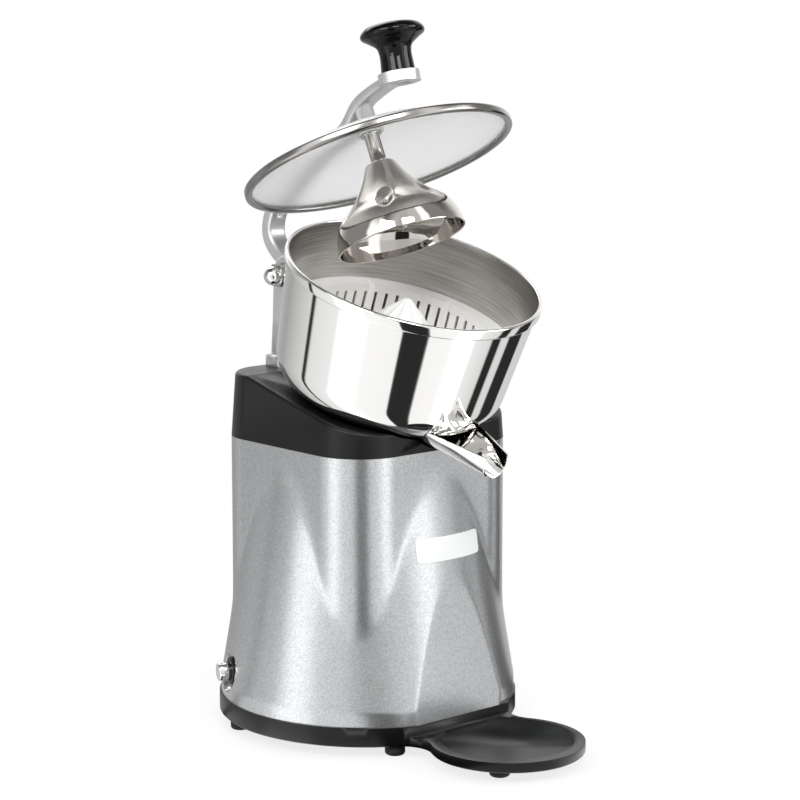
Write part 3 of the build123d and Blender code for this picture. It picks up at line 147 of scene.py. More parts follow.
def brushedSteel():
    # stainless steel rubbed round with abrasive: fine rings of scratches that pull highlights out lengthwise
    look = {"colour": "#bcbab7", "line": 0.9, "run": 70.0, "rough": 0.26, "dim": 0.3, "bright": 1.7,
            "bump": 0.5, "depth": 0.03}
    # the scratches are 0.05 mm wide; they are drawn at 0.9 mm so that they show at this distance
    material, tree, shader = startFinish("brushed stainless steel", Metallic=1.0, Roughness=look["rough"])
    place = addNode(tree, "ShaderNodeUVMap", uv_map="round")
    fine = addNode(tree, "ShaderNodeMapping", {"Vector": place.outputs["UV"]},
                   {"Scale": (perMetre(look["run"]), perMetre(look["line"]), 1.0)})
    lines = addNode(tree, "ShaderNodeTexNoise", {"Vector": fine.outputs["Vector"]},
                    {"Scale": 1.0, "Detail": 3.0})
    tone = addNode(tree, "ShaderNodeMapRange", {"Value": lines.outputs["Fac"]},
                   {"To Min": look["dim"], "To Max": look["bright"]})
    shade = addNode(tree, "ShaderNodeVectorMath", {"Scale": tone.outputs["Result"]},
                    {0: linear(look["colour"])[:3]}, operation="SCALE")
    tree.links.new(shade.outputs["Vector"], shader.inputs["Base Color"])
    bump = addNode(tree, "ShaderNodeBump", {"Height": lines.outputs["Fac"]},
                   {"Strength": look["bump"], "Distance": look["depth"] * mm})
    tree.links.new(bump.outputs["Normal"], shader.inputs["Normal"])
    return material


def etchedGlass():
    # toughened sheet with a satin face: lets light through evenly and blurs what stands behind it
    look = {"colour": "#ffffff", "rough": 0.42, "bend": 1.45, "clear": 0.93, "wave": 60.0, "bump": 0.05,
            "depth": 0.1}
    material, tree, shader = startFinish(
        "satin toughened glass", Roughness=look["rough"], IOR=look["bend"],
        Base_Color=linear(look["colour"]), Transmission_Weight=look["clear"])
    place = addNode(tree, "ShaderNodeTexCoord").outputs["Object"]
    wave = addNode(tree, "ShaderNodeTexNoise", {"Vector": place},
                   {"Scale": perMetre(look["wave"]), "Detail": 1.0})
    bump = addNode(tree, "ShaderNodeBump", {"Height": wave.outputs["Fac"]},
                   {"Strength": look["bump"], "Distance": look["depth"] * mm})
    tree.links.new(bump.outputs["Normal"], shader.inputs["Normal"])
    return material


# the grained ones: name, colour, roughness, then the grain's size and depth in millimetres
finishes = {
    "silver_paint": silverPaint(),
    "black_plastic": grained("moulded black ABS", "#0d0e0f", 0.37, 0.8, 0.03, Specular_IOR_Level=0.25),
    "black_gloss": grained("polished phenolic", "#040405", 0.05, 9.0, 0.004, Specular_IOR_Level=0.25),
    "rubber": grained("black rubber", "#101011", 0.75, 1.2, 0.05),
    "polished_steel": polishedSteel("polished stainless steel", "#e8e7e5"),
    "white_plastic": grained("moulded white ABS", "#f1f0ed", 0.36, 1.5, 0.02, spread=0.02),
    "cast_aluminium": grained("tumbled cast aluminium", "#cdcecf", 0.36, 1.6, 0.05, Metallic=0.88),
    "steel": grained("turned steel", "#d4d4d2", 0.14, 0.9, 0.006, Metallic=1.0),
    "laminations": grained("varnished laminations", "#5b5c5e", 0.5, 0.7, 0.05, Metallic=0.6),
    "copper": grained("enamelled copper wire", "#b5652f", 0.35, 1.0, 0.2, Metallic=0.9),
    "bronze": grained("sintered bronze", "#9a7a44", 0.45, 0.6, 0.03, Metallic=1.0),
    "capacitor_case": grained("pale polypropylene", "#d6d5cf", 0.5, 2.0, 0.02),
    "glass": etchedGlass(),
}
brushed = brushedSteel()
# the bowl's polished steel again in a darker, warmer colour for the bell: painted shade standing in for the dark
# reflections on its flare
shadedPolish = polishedSteel("polished pressed steel", "#bfbbb6")
satin = grained("satin stainless steel", "#908e8c", 0.2, 0.6, 0.004, Metallic=1.0)
silicone = grained("pale silicone", "#cfd1d0", 0.4, 2.0, 0.01, spread=0.02)
vinyl = grained("white vinyl film", "#d9dbda", 0.3, 1.0, 0.005, spread=0.01)
slotOf = {part["node"]: part["material_slot"] for part in record["subparts"]}
for node, slot in slotOf.items():
    for place in nodes[node].material_slots:
        place.material = finishes[slot]
print("finishes:", len(finishes), "for slots")


def arc(centre, radius, start, end, steps=8):  # points of a circle between two angles in degrees
    turn = np.radians(np.linspace(start, end, steps))
    return np.column_stack((centre[0] + radius * np.cos(turn), centre[1] + radius * np.sin(turn)))


def smoothLine(points, steps):
    # Catmull-Rom: each span is a cubic through its two points, with slopes from the points beside them
    p = np.vstack((2 * points[0] - points[1], points, 2 * points[-1] - points[-2]))
    t = np.linspace(0, 1, steps, endpoint=False)[None, :, None]
    a, b, c, d = (p[i:len(p) - 3 + i, None, :] for i in range(4))
    span = 0.5 * (2 * b + (c - a) * t + (2 * a - 5 * b + 4 * c - d) * t**2 + (3 * b - a - 3 * c + d) * t**3)
    return np.vstack((span.reshape(-1, points.shape[1]), points[-1:]))


def denser(line, gap):  # the same line with points put in wherever two lie further apart than the gap
    lengths = np.linalg.norm(np.diff(line, axis=0), axis=1)
    spots = np.concatenate([[0.0], np.cumsum(lengths)])
    counts = np.maximum(np.ceil(lengths / gap).astype(int), 1)
    spans = [np.linspace(spots[i], spots[i + 1], n, endpoint=False) for i, n in enumerate(counts)]
    wanted = np.append(np.concatenate(spans), spots[-1])
    return np.column_stack([np.interp(wanted, spots, line[:, i]) for i in range(line.shape[1])])


def turned(profile, centre, up, steps):
    # surface of revolution: each profile point (radius, height) goes round the axis, from the back
    side = np.array([1.0, 0.0, 0.0])
    back = np.cross(up, side)
    turn = np.linspace(0, 2 * np.pi, steps, endpoint=False)
    ring = np.cos(turn)[:, None] * back + np.sin(turn)[:, None] * side
    return centre + profile[:, 0, None, None] * ring[None] + profile[:, 1, None, None] * up


def finishMesh(mesh, weld, sharp, outward=False):
    # points within the weld distance, in millimetres, merge; smooth shading up to a sharp angle in degrees
    work = bmesh.new()
    work.from_mesh(mesh)
    bmesh.ops.remove_doubles(work, verts=work.verts, dist=weld * mm)
    if outward:
        bmesh.ops.recalc_face_normals(work, faces=work.faces)
    work.to_mesh(mesh)
    work.free()
    mesh.shade_smooth()
    mesh.set_sharp_from_angle(angle=np.radians(sharp))


def gridMesh(name, points, closedRows=True, sharp=38.0, rowFinish=None):
    # quads between neighbouring points of a grid in millimetres, closed round its columns; with closed rows
    # the last row meets the first. The map "round" holds metres along the columns and along the rows
    rows, columns = points.shape[:2]
    faceRows = rows if closedRows else rows - 1
    i, j = (index.ravel() for index in np.meshgrid(np.arange(faceRows), np.arange(columns), indexing="ij"))
    below, above, beside = i * columns, (i + 1) % rows * columns, (j + 1) % columns
    quads = np.stack([below + j, below + beside, above + beside, above + j], axis=1)
    mesh = bpy.data.meshes.new(name)
    mesh.from_pydata((points.reshape(-1, 3) * mm).tolist(), [], quads.tolist())
    steps = np.linalg.norm(np.diff(points[:, 0], axis=0, append=points[:1, 0]), axis=1)
    run = np.concatenate([[0.0], np.cumsum(steps)]) * mm
    girth = np.linalg.norm(np.diff(points, axis=1), axis=2).sum(axis=1).max() * mm
    flat = np.stack([np.stack([j, j + 1, j + 1, j], axis=1) * girth / columns,
                     np.stack([run[i], run[i], run[i + 1], run[i + 1]], axis=1)], axis=2)
    mesh.uv_layers.new(name="round").data.foreach_set("uv", flat.ravel().astype(np.float32))
    if rowFinish is not None:
        mesh.polygons.foreach_set("material_index", rowFinish[i].astype(np.int32))
    finishMesh(mesh, weld=0.002, sharp=sharp, outward=True)
    return mesh


def addPiece(mesh, body, materials, stands=()):  # object at the origin that rides, with its finish
    piece = bpy.data.objects.new(mesh.name, mesh)
    scene.collection.objects.link(piece)
    for material in materials:
        mesh.materials.append(material)
    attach(piece, body)
    if stands:
        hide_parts(*stands)


def standsFor(node, name, points, materials=None, **grid):  # a worked-out surface in place of a CAD node
    mesh = gridMesh(name, points, **grid)
    addPiece(mesh, bodyOf[node], materials or [finishes[slotOf[node]]], [node])


# axes of the turned pieces, in millimetres: up the bowl from its rim, and up the press from its datum
bowlUp = np.array(joints["reamer_spin"]["axis"], float)
bowlUp *= np.sign(bowlUp[2])
bowlRim = np.array(joints["reamer_spin"]["pos_m"]) * 1000
hinge = np.array(joints["lever_hinge"]["pos_m"]) * 1000
pressUp = np.array(joints["lid_slide"]["axis"], float)
pressUp *= np.sign(pressUp[2])
lid = {"radius": 106.0, "width": 5.4, "low": -4.8, "high": 1.8, "round": 2.0, "rise": 23.8, "foot": -2.4,
       "pane": 3.0, "hole": 8.5, "grip": 3.0, "gap": 1.2, "ringSides": 256, "paneRows": 60, "paneSides": 192}
ringMiddle = np.mean(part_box("lid_ring"), axis=0) * 1000
pressSpot = ringMiddle - (lid["low"] + lid["high"]) / 2 * pressUp
hingeReach = 61.5
bodyAxis = hinge[1] - hingeReach  # the body's upright axis, as a distance back
print("axes: bowl rim", bowlRim.round(1), "press", pressSpot.round(1))

# bowl: spun cup with a flat foot, round heel, drafted wall and a proud rim band, and the pipe in its floor
cup = {"wallRadius": 98.4, "depth": 105.0, "wall": 1.4, "draft": 6.0, "heel": 28.0, "band": 8.0,
       "bandRadius": 100.0, "bandStep": 1.0, "bandRound": 1.2, "rimRound": 1.5, "lipRound": 0.8,
       "lipDrop": 1.2, "pipeBore": 9.9, "pipeWall": 1.4, "pipe": 22.0, "pipeRound": 0.5, "gap": 3.0,
       "shinyRows": 3, "sides": 200}
slope, tilt = np.tan(np.radians(cup["draft"])), np.cos(np.radians(cup["draft"]))


def cupWall(grow, top):  # foot line, heel arc and wall up to a level, for the wall moved out by grow
    heel = cup["heel"] + grow
    middle = cup["heel"] - cup["depth"]
    across = cup["wallRadius"] + grow + slope * middle - heel / tilt
    return np.vstack((arc((across, middle), heel, -90, -cup["draft"], 16),
                      [(cup["wallRadius"] + grow + slope * top, top)]))


foot, inner = -cup["depth"], cup["wall"] - cup["depth"]
pipeOut, pipeTop = cup["pipeBore"] + cup["pipeWall"], cup["pipe"] - cup["depth"]
bandFoot = -cup["band"]
bandEdge, rimEdge = cup["bandRadius"] - cup["bandRound"], cup["bandRadius"] - cup["rimRound"]
lipEdge, pipeEdge = cup["wallRadius"] - cup["wall"] + cup["lipRound"], pipeOut - cup["pipeRound"]
outside = np.vstack(([(cup["pipeBore"], foot)], cupWall(0, bandFoot - cup["bandStep"]),
                     arc((bandEdge, bandFoot + cup["bandStep"]), cup["bandRound"], -90, 0, 6),
                     arc((rimEdge, -cup["rimRound"]), cup["rimRound"], 0, 90, 7)))
inside = np.vstack((arc((lipEdge, -cup["lipRound"]), cup["lipRound"], 90, 180, 5),
                    cupWall(-cup["wall"], -cup["lipDrop"])[::-1], [(pipeOut, inner)],
                    arc((pipeEdge, pipeTop - cup["pipeRound"]), cup["pipeRound"], 0, 180, 6),
                    [(cup["pipeBore"], foot + cup["pipeRound"])]))
outside, inside = denser(outside, cup["gap"]), denser(inside, cup["gap"])
profile = np.vstack((outside, inside))
rubbed = np.arange(len(profile)) >= len(outside) + cup["shinyRows"]
standsFor("bowl", "spunBowl", turned(profile, bowlRim, bowlUp, cup["sides"]),
          [finishes["polished_steel"], brushed], rowFinish=rubbed.astype(int))

# spout: an open trough that narrows to its tip; its section is an arc with upright lips, in a thin wall
gutter = {"lean": 17.0, "length": 74.0, "rootWidth": 68.0, "tipWidth": 24.0, "depth": 15.0, "lip": 3.0,
          "wall": 1.5, "rootReach": 72.0, "tipHeight": 213.0, "gap": 0.3, "nose": 0.5, "arcPoints": 48,
          "tries": 400, "rows": 70}
lean = np.radians(gutter["lean"])
gutterBack = np.array([0.0, np.cos(lean), np.sin(lean)])
gutterUp = np.array([0.0, -np.sin(lean), np.cos(lean)])
tipBack = bodyAxis - gutter["rootReach"] - gutter["length"] * np.cos(lean)
gutterTip = np.array([0.0, tipBack, gutter["tipHeight"]])
gutterPoints = gutter["arcPoints"] + 2  # the arc and the two brims


def gutterSide(run, inset):
    # section from brim to brim at each distance up the trough: a circle through the bottom and both sides,
    # then the lips
    widen = (gutter["rootWidth"] - gutter["tipWidth"]) * run / gutter["length"]
    half = (gutter["tipWidth"] + widen) / 2 - inset
    deep = gutter["depth"] - inset
    bend = (half**2 + deep**2) / (2 * deep)
    share = np.concatenate([[-1.0], np.linspace(-1, 1, gutter["arcPoints"]), [1.0]])
    turn = np.arctan2(half, bend - deep) * share
    lip = np.concatenate([[gutter["lip"]], np.zeros(gutter["arcPoints"]), [gutter["lip"]]])
    rise = inset + bend * (1 - np.cos(turn)) + lip
    across = np.stack([bend * np.sin(turn), 0 * turn, 0 * turn], axis=-1)
    return gutterTip + across + rise[..., None] * gutterUp + run[..., None] * gutterBack


def gutterLoop(runs):  # outside from left to right, then inside back again
    outer = gutterSide(runs[:, :gutterPoints], 0.0)
    inner = gutterSide(runs[:, :gutterPoints - 1:-1], gutter["wall"])
    return np.concatenate([outer, inner[:, ::-1]], axis=1)


tries = np.linspace(0, gutter["length"], gutter["tries"])
spots = gutterLoop(np.repeat(tries[:, None], 2 * gutterPoints, axis=1)) - bowlRim
heights = spots @ bowlUp
across = np.linalg.norm(spots - heights[..., None] * bowlUp, axis=-1)
wallLine = cupWall(gutter["gap"], bandFoot)
met = (heights > foot - gutter["gap"]) & (across < np.interp(heights, wallLine[:, 1], wallLine[:, 0]))
# where each line along it meets the bowl
ends = np.where(met.any(axis=0), tries[met.argmax(axis=0)], gutter["length"])
trough = gutterLoop(np.linspace(0, 1, gutter["rows"])[:, None] * ends)
seam = (trough + trough[:, ::-1]) / 2
trough = np.concatenate([seam[:1] - gutter["nose"] * gutterBack, trough, seam[-1:]])
standsFor("spout", "spoutTrough", trough, closedRows=False)

# press bell: a flared skirt in a closed thin wall, dented in at six places
bell = {"radius": 50.0, "neck": -3.0, "rim": -67.0, "wall": 1.5, "roof": -21.0, "roofEdge": 0.3,
        "neckRadius": 9.5, "neckIn": 1.0, "neckDown": 0.6, "flareGap": 1.0, "gap": 1.4, "sides": 330,
        "radii": (0.23, 0.32, 0.445, 0.62, 0.785, 0.885, 0.95, 0.985, 1.0),
        "drops": (0.03, 0.17, 0.32, 0.485, 0.595, 0.68, 0.79, 0.9, 1.0),
        "dents": 6, "dentTurn": 47.7, "dentDrop": -39.5, "dentDepth": 3.6, "dentLong": 12.5, "dentWide": 7.6,
        "dentEase": 1.5, "dentFrom": 20.0, "slantOut": 0.62, "slantDown": 0.78}
flare = np.column_stack((bell["radius"] * np.array(bell["radii"]),
                         bell["neck"] + (bell["rim"] - bell["neck"]) * np.array(bell["drops"])))
flare = denser(smoothLine(flare, 12), bell["flareGap"])
along = np.gradient(flare, axis=0)
along /= np.linalg.norm(along, axis=1)[:, None]
lining = flare + bell["wall"] * np.column_stack((along[:, 1], -along[:, 0]))
lining = lining[lining[:, 1] < bell["roof"]][::-1]
lip = arc((bell["radius"] - bell["wall"] / 2, bell["rim"]), bell["wall"] / 2, 0, -180, 6)
neckTop = [(0.0, bell["neck"]), (bell["neckRadius"] - bell["neckIn"], bell["neck"]),
           (bell["neckRadius"], bell["neck"] - bell["neckDown"])]
roof = [(lining[-1, 0] - bell["roofEdge"], bell["roof"]), (0.0, bell["roof"])]
profile = denser(np.vstack((neckTop, flare, lip, lining, roof)), bell["gap"])
grid = turned(profile, pressSpot, pressUp, bell["sides"])
# dents: each is a smooth oval hollow, pushed in square to the slant that the flare has there
radial = grid - pressSpot - profile[:, 1, None, None] * pressUp
radial /= np.maximum(np.linalg.norm(radial, axis=2, keepdims=True), 1e-6)
turn = np.linspace(0, 2 * np.pi, bell["sides"], endpoint=False)
apart = 2 * np.pi / bell["dents"]
offset = (turn - np.radians(bell["dentTurn"]) + apart / 2) % apart - apart / 2
down = (bell["dentDrop"] - profile[:, 1]) / bell["slantDown"]
sideways = offset[None] * profile[:, 0, None]
oval = (down[:, None] / bell["dentLong"]) ** 2 + (sideways / bell["dentWide"]) ** 2
push = bell["dentDepth"] * np.clip(1 - oval, 0, 1) ** bell["dentEase"]
push *= (profile[:, 0] > bell["dentFrom"])[:, None]
grid = grid + push[..., None] * (-bell["slantDown"] * radial - bell["slantOut"] * pressUp)
standsFor("press_bell", "pressBell", grid, [shadedPolish], closedRows=False)

# lid: rolled ring of rounded section, and the domed pane whose edge sits in it
edge = lid["radius"] - lid["width"]
near, far = edge + lid["round"], lid["radius"] - lid["round"]
low, high = lid["low"] + lid["round"], lid["high"] - lid["round"]
profile = np.vstack((arc((far, low), lid["round"], -90, 0, 7), arc((far, high), lid["round"], 0, 90, 7),
                     arc((near, high), lid["round"], 90, 180, 7),
                     arc((near, low), lid["round"], 180, 270, 7)))
profile = denser(profile, lid["gap"])
standsFor("lid_ring", "lidRing", turned(profile, pressSpot, pressUp, lid["ringSides"]), [satin])
crown = lid["foot"] + lid["rise"]
ball = (edge**2 + lid["rise"]**2) / (2 * lid["rise"])
radii = np.linspace(lid["hole"], edge, lid["paneRows"])
under = np.column_stack((radii, crown - ball + np.sqrt(ball**2 - radii**2)))
held = edge + lid["grip"]
profile = np.vstack((under, [(held, lid["foot"]), (held, lid["foot"] + lid["pane"])],
                     under[::-1] + [0, lid["pane"]]))
standsFor("lid_pane", "lidPane", turned(profile, pressSpot, pressUp, lid["paneSides"]))

# knob: a waisted mushroom on the lever's pad
knob = {"head": 24.6, "height": 38.2, "foot": 13.0, "footRound": 0.6, "lean": 14.0, "padUp": 4.0,
        "reach": -100.0, "rise": 155.1, "gap": 1.5, "sides": 128,
        "radii": (0.5, 0.505, 0.56, 0.78, 0.985, 0.97, 0.72, 0.0),
        "heights": (0.3, 0.4, 0.53, 0.645, 0.74, 0.85, 0.955, 1.0)}
lean = np.radians(knob["lean"])
knobUp = np.array([0.0, np.sin(lean), np.cos(lean)])
knobSpot = hinge + np.array([0.0, knob["reach"], knob["rise"]]) + knob["padUp"] * knobUp
stem = np.column_stack((knob["head"] * np.array(knob["radii"]), knob["height"] * np.array(knob["heights"])))
bulge = smoothLine(stem, 12)
bulge[:, 0] = np.maximum(bulge[:, 0], 0)
base = [(0.0, 0.0), (knob["foot"] - knob["footRound"], 0.0), (knob["foot"], knob["footRound"])]
profile = denser(np.vstack((base, bulge)), knob["gap"])
standsFor("knob", "pressKnob", turned(profile, knobSpot, knobUp, knob["sides"]), closedRows=False)
print("turned pieces ready")

# body skin: a rounded square tower standing in a round skirt, with a leaning plane cut in its front
tower = {"half": 87.0, "corner": 40.0, "skirt": 116.0, "skirtTop": 35.0, "slope": 0.1686, "low": 24.0,
         "high": 227.0, "soft": 1.4, "wall": 2.5, "deck": 62.0, "deckWall": 3.0, "panelReach": 108.2,
         "panelLean": 4.4, "edge": 0.35, "panelFrom": -0.8, "sides": 540, "rows": 138, "liningStep": 12}
seats = ({"angle": 157.0, "height": 46.0, "reach": 109.0, "radius": 15.0},
         {"angle": 90.0, "height": 44.0, "reach": 108.5, "radius": 14.0})
seatRamp = 1.6  # width over which a seat runs out into the skin


def step(value):  # smooth rise from 0 to 1
    value = np.clip(value, 0, 1)
    return value * value * (3 - 2 * value)


def skinRadius(turn, height):
    # distance from the body axis: the larger of tower and skirt, blended over a soft crease, then cut
    # back to the leaning plane of the front panel and to the flat round seats
    across, deep = np.abs(np.cos(turn)), np.abs(np.sin(turn))
    flat = tower["half"] / np.maximum(across, deep)
    middle = tower["half"] - tower["corner"]
    reach = middle * (across + deep)
    bend = reach + np.sqrt(np.maximum(reach**2 - 2 * middle**2 + tower["corner"]**2, 0))
    straight = flat * np.minimum(across, deep) <= middle
    square = np.where(straight, flat, bend)
    skirt = tower["skirt"] - tower["slope"] * np.maximum(height - tower["skirtTop"], 0)
    skin = (square + skirt + np.sqrt((square - skirt)**2 + tower["soft"]**2)) / 2
    front = np.maximum(-np.sin(turn), 0.2)  # kept off zero; the cut is used only where it faces the front
    fall = np.tan(np.radians(tower["panelLean"])) * (height - tower["low"])
    plane = (tower["panelReach"] - fall) / front
    cut = (skin + plane - np.sqrt((skin - plane)**2 + tower["edge"]**2)) / 2
    skin = np.where(np.sin(turn) < tower["panelFrom"], cut, skin)
    for seat in seats:
        away = turn - np.radians(seat["angle"])
        away = (away + np.pi) % (2 * np.pi) - np.pi
        face = seat["reach"] / np.maximum(np.cos(away), 0.3)  # kept off zero, as above
        sideways = seat["reach"] * np.tan(np.clip(away, -1.2, 1.2))
        far = np.hypot(sideways, height - seat["height"]) - seat["radius"]
        share = step(0.5 - far / seatRamp) * (np.cos(away) > 0.5)
        skin = skin + (np.minimum(skin, face) - skin) * share
    return skin


def skinPoint(turn, height, grow=0.0):  # point of the body at an angle and height, moved out by grow
    radius = skinRadius(turn, height) + grow
    return np.stack([radius * np.cos(turn), bodyAxis + radius * np.sin(turn), height + 0 * turn], axis=-1)


turns = np.linspace(0, 2 * np.pi, tower["sides"], endpoint=False) + np.pi / 2
levels = np.linspace(tower["low"], tower["high"], tower["rows"])
shell = skinPoint(turns[None], levels[:, None])
lining = skinPoint(turns[None], levels[::-tower["liningStep"], None], -tower["wall"])
lining[0, :, 2] -= tower["deckWall"]
deckX, deckY = tower["deck"] * np.cos(turns), bodyAxis + tower["deck"] * np.sin(turns)
ringEdge = np.stack([deckX, deckY, 0 * turns], axis=-1)
deckTop = ringEdge + [0, 0, tower["high"]]
deckUnder = ringEdge + [0, 0, tower["high"] - tower["deckWall"]]
skin = np.concatenate([shell, deckTop[None], deckUnder[None], lining])
standsFor("body_shell", "bodyShell", skin, sharp=50.0)

# label plate: blank white film on the front, a rounded rectangle laid on the skin
plate = {"left": -30.0, "right": 34.0, "low": 144.0, "high": 162.0, "corner": 3.0, "proud": 0.5, "sunk": -0.8,
         "gap": 2.0, "rows": 12}
half = np.array([plate["right"] - plate["left"], plate["high"] - plate["low"]]) / 2
centre = np.array([plate["right"] + plate["left"], plate["high"] + plate["low"]]) / 2
bendX, bendZ = half - plate["corner"]
corners = [arc((sx * bendX, sz * bendZ), plate["corner"], start, start + 90)
           for sx, sz, start in ((1, 1, 0), (-1, 1, 90), (-1, -1, 180), (1, -1, 270))]
outline = denser(np.vstack((*corners, corners[0][:1])), plate["gap"])[:-1]
shares = np.concatenate([np.linspace(0, 1, plate["rows"]), [1.0]])
proud = np.concatenate([np.full(plate["rows"], plate["proud"]), [plate["sunk"]]])
spots = centre + shares[:, None, None] * outline[None]
turn = np.full(spots.shape[:2], -np.pi / 2)
for _ in range(4):  # angle at which the skin has the wanted distance to the side
    turn = -np.arccos(np.clip(spots[..., 0] / skinRadius(turn, spots[..., 1]), -1, 1))
film = skinPoint(turn, spots[..., 1], proud[:, None])
addPiece(gridMesh("labelPlate", film, closedRows=False), "base", [vinyl])
print("body ready")


def smoothCopy(node, sharp, material=None):  # a merged copy of a CAD mesh, smooth up to a sharp angle
    mesh = nodes[node].data.copy()
    mesh.name = node.replace("_", "") + "Smooth"
    finishMesh(mesh, weld=0.01, sharp=sharp)
    mesh.materials.clear()
    addPiece(mesh, bodyOf[node], [material or finishes[slotOf[node]]], [node])


smoothed = {"lever_arm": 32, "column": 32, "top_collar": 30, "base_tray": 42, "strainer_basket": 30,
            "reamer_cone": 30, "press_rod": 30, "lid_grommet": 30, "hinge_bolt": 30, "push_button": 30,
            "button_barrel": 30, "rubber_feet": 30, "hinge_washers": 30, "cable_gland": 30}
for node, sharp in smoothed.items():
    smoothCopy(node, sharp, silicone if node == "lid_grommet" else None)
print("smoothed nodes:", len(smoothed))

# studio: camera where the photograph was taken from, soft lamps, white surroundings
camera = {"place": (-1.2268, -1.38894, 0.5636), "right": (0.7518, -0.6593, 0.0),
          "up": (0.1064, 0.1214, 0.9868), "back": (-0.6507, -0.7420, 0.1614), "lens": 110.3, "sensor": 36.0,
          "near": 0.05, "far": 50.0}
eye = bpy.data.objects.new("camera", bpy.data.cameras.new("camera"))
scene.collection.objects.link(eye)
turnOver = Matrix((camera["right"], camera["up"], camera["back"])).transposed().to_4x4()
eye.matrix_world = Matrix.Translation(camera["place"]) @ turnOver
eye.data.lens = camera["lens"]
eye.data.sensor_width = camera["sensor"]
eye.data.clip_start, eye.data.clip_end = camera["near"], camera["far"]
scene.camera = eye

lamps = {  # place in metres, size in metres, power in watts
    "keyLamp": {"place": (-1.9, -0.5, 1.5), "size": 1.0, "power": 24.0},
    "fillLamp": {"place": (1.2, -1.5, 1.1), "size": 1.0, "power": 18.0},
    "backLamp": {"place": (0.4, 1.5, 1.9), "size": 1.2, "power": 14.0},
    "frontLamp": {"place": (-0.9, -1.6, 1.9), "size": 0.8, "power": 20.0},
}
target = Vector((0.0, 0.0, 0.28))
for name, lamp in lamps.items():
    light = bpy.data.objects.new(name, bpy.data.lights.new(name, "AREA"))
    scene.collection.objects.link(light)
    light.data.shape = "SQUARE"
    light.data.size = lamp["size"]
    light.data.energy = lamp["power"]
    light.location = lamp["place"]
    light.rotation_euler = (Vector(lamp["place"]) - target).to_track_quat("Z", "Y").to_euler()

# what mirrors see: grey levels by the angle round from the front, in degrees, of the paper on the floor
# with its dark gaps, and of the room with two bright strip lights beside the camera
paper = ((-180, 0.45), (-143.2, 0.85), (-142, 0.03), (-138.5, 0.03), (-137.3, 0.95), (-113, 1.1), (-107, 2.2),
         (-90, 2.2), (-84, 1.25), (-53.2, 1.2), (-52, 0.03), (-27, 0.03), (-25.8, 1.2), (0, 1.25), (6, 2.2),
         (22, 2.2), (28, 1.1), (48.8, 0.9), (50, 0.03), (61, 0.03), (62.2, 0.9), (72.8, 0.9), (74, 0.03),
         (96, 0.03), (97.2, 0.8), (180, 0.45))
room = ((-180, 0.8), (-160, 0.4), (-113, 0.4), (-107, 2.2), (-90, 2.2), (-84, 0.95), (-56, 0.9), (-50, 0.8),
        (-32, 0.8), (-26, 0.9), (0, 0.95), (6, 2.2), (22, 2.2), (28, 0.4), (85, 0.4), (105, 1.2), (165, 1.2),
        (180, 0.8))
plain = linear("#ffffff")


def screens(tree, vector, levels):  # grey by the angle round the object
    parts = addNode(tree, "ShaderNodeSeparateXYZ", {"Vector": vector})
    back = addNode(tree, "ShaderNodeMath", {0: parts.outputs["Y"]}, {1: -1.0}, operation="MULTIPLY")
    turn = addNode(tree, "ShaderNodeMath", {0: parts.outputs["X"], 1: back.outputs[0]}, operation="ARCTAN2")
    share = addNode(tree, "ShaderNodeMapRange", {"Value": turn.outputs[0]},
                    {"From Min": -np.pi, "From Max": np.pi})
    ramp = addNode(tree, "ShaderNodeValToRGB", {"Fac": share.outputs["Result"]})
    stops = ramp.color_ramp.elements
    stops.remove(stops[1])
    stops[0].position, stops[0].color = 0.0, (levels[0][1],) * 3 + (1,)
    for angle, level in levels:
        stops.new((angle + 180) / 360).color = (level, level, level, 1)
    return ramp.outputs["Color"]


# the ceiling is dark behind the object and bright in front; heights and depths are parts of a unit direction
ceiling = {"from": 0.42, "full": 0.8, "dark": 0.16, "frontFull": -0.35, "frontFrom": -0.05, "fill": 0.5}
world = bpy.data.worlds.new("white surroundings")
scene.world = world
world.use_nodes = True
air = world.node_tree
air.nodes.clear()
path = addNode(air, "ShaderNodeLightPath")
mirror = addNode(air, "ShaderNodeMath",
                 {0: path.outputs["Is Glossy Ray"], 1: path.outputs["Is Transmission Ray"]},
                 operation="MAXIMUM")
way = addNode(air, "ShaderNodeTexCoord").outputs["Generated"]
toward = addNode(air, "ShaderNodeSeparateXYZ", {"Vector": way})
roof = addNode(air, "ShaderNodeMapRange", {"Value": toward.outputs["Z"]},
               {"From Min": ceiling["from"], "From Max": ceiling["full"],
                "To Min": 1.0, "To Max": ceiling["dark"]}, interpolation_type="SMOOTHSTEP")
front = addNode(air, "ShaderNodeMapRange", {"Value": toward.outputs["Y"]},
                {"From Min": ceiling["frontFull"], "From Max": ceiling["frontFrom"],
                 "To Min": 1.0, "To Max": 0.0})
above = addNode(air, "ShaderNodeMath", {0: roof.outputs["Result"], 1: front.outputs["Result"]},
                operation="MAXIMUM")
through = addNode(air, "ShaderNodeMix",
                  {"Factor": path.outputs["Is Transmission Ray"], 6: screens(air, way, room)}, {7: plain},
                  data_type="RGBA")
mirrored = addNode(air, "ShaderNodeVectorMath", {0: through.outputs[2], "Scale": above.outputs[0]},
                   operation="SCALE")
soft = addNode(air, "ShaderNodeBackground", inputs={"Color": plain, "Strength": ceiling["fill"]})
shiny = addNode(air, "ShaderNodeBackground", {"Color": mirrored.outputs["Vector"]}, {"Strength": 1.0})
white = addNode(air, "ShaderNodeBackground", inputs={"Color": plain, "Strength": 1.0})
first = addNode(air, "ShaderNodeMixShader", {0: mirror.outputs[0], 1: soft.outputs[0], 2: shiny.outputs[0]})
both = addNode(air, "ShaderNodeMixShader",
               {0: path.outputs["Is Camera Ray"], 1: first.outputs[0], 2: white.outputs[0]})
addNode(air, "ShaderNodeOutputWorld", {"Surface": both.outputs[0]})

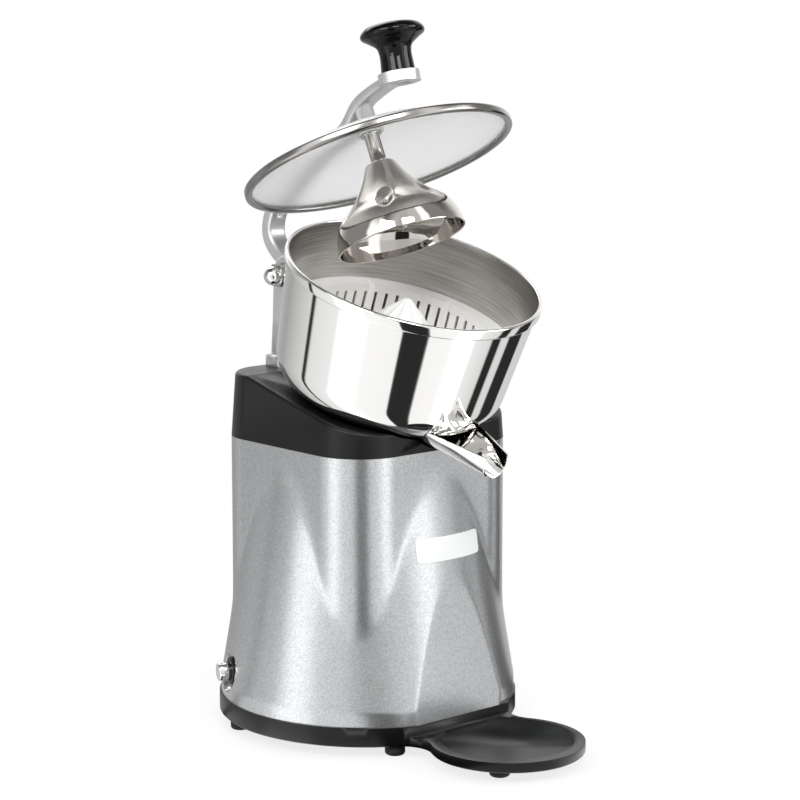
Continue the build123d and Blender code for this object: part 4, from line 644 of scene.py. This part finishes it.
# floor: a paper sweep that takes a faint shadow near the object and fades to plain white, in metres
sweep = {"reach": 12.0, "fadeFrom": 0.2, "fadeTo": 0.55, "glowNear": 0.8, "colour": "#fafafa", "screen": 0.95}
floorMesh = bpy.data.meshes.new("floor")
reach = sweep["reach"]
floorMesh.from_pydata([(-reach, -reach, 0), (reach, -reach, 0), (reach, reach, 0), (-reach, reach, 0)], [],
                      [(0, 1, 2, 3)])
floor = bpy.data.objects.new("floor", floorMesh)
scene.collection.objects.link(floor)
floorFinish = bpy.data.materials.new("white paper sweep")
floorFinish.use_nodes = True
sheet = floorFinish.node_tree
sheet.nodes.clear()
path = addNode(sheet, "ShaderNodeLightPath")
seen = addNode(sheet, "ShaderNodeMath",
               {0: path.outputs["Is Camera Ray"], 1: path.outputs["Is Transmission Ray"]},
               operation="MAXIMUM")
place = addNode(sheet, "ShaderNodeTexCoord").outputs["Object"]
spread = addNode(sheet, "ShaderNodeVectorMath", {0: place}, operation="LENGTH")
fade = addNode(sheet, "ShaderNodeMapRange", {"Value": spread.outputs["Value"]},
               {"From Min": sweep["fadeFrom"], "From Max": sweep["fadeTo"],
                "To Min": sweep["glowNear"], "To Max": 1.0}, interpolation_type="SMOOTHSTEP")
share = addNode(sheet, "ShaderNodeMath", {0: seen.outputs[0], 1: fade.outputs["Result"]},
                operation="MULTIPLY")
matt = addNode(sheet, "ShaderNodeBsdfDiffuse", inputs={"Color": linear(sweep["colour"])})
glow = addNode(sheet, "ShaderNodeEmission", inputs={"Color": plain, "Strength": 1.0})
screen = addNode(sheet, "ShaderNodeEmission", {"Color": screens(sheet, place, paper)},
                 {"Strength": sweep["screen"]})
first = addNode(sheet, "ShaderNodeMixShader",
                {0: path.outputs["Is Glossy Ray"], 1: matt.outputs[0], 2: screen.outputs[0]})
both = addNode(sheet, "ShaderNodeMixShader", {0: share.outputs[0], 1: first.outputs[0], 2: glow.outputs[0]})
addNode(sheet, "ShaderNodeOutputMaterial", {"Surface": both.outputs[0]})
floorMesh.materials.append(floorFinish)

scene.view_settings.view_transform = "Standard"
print("studio ready")
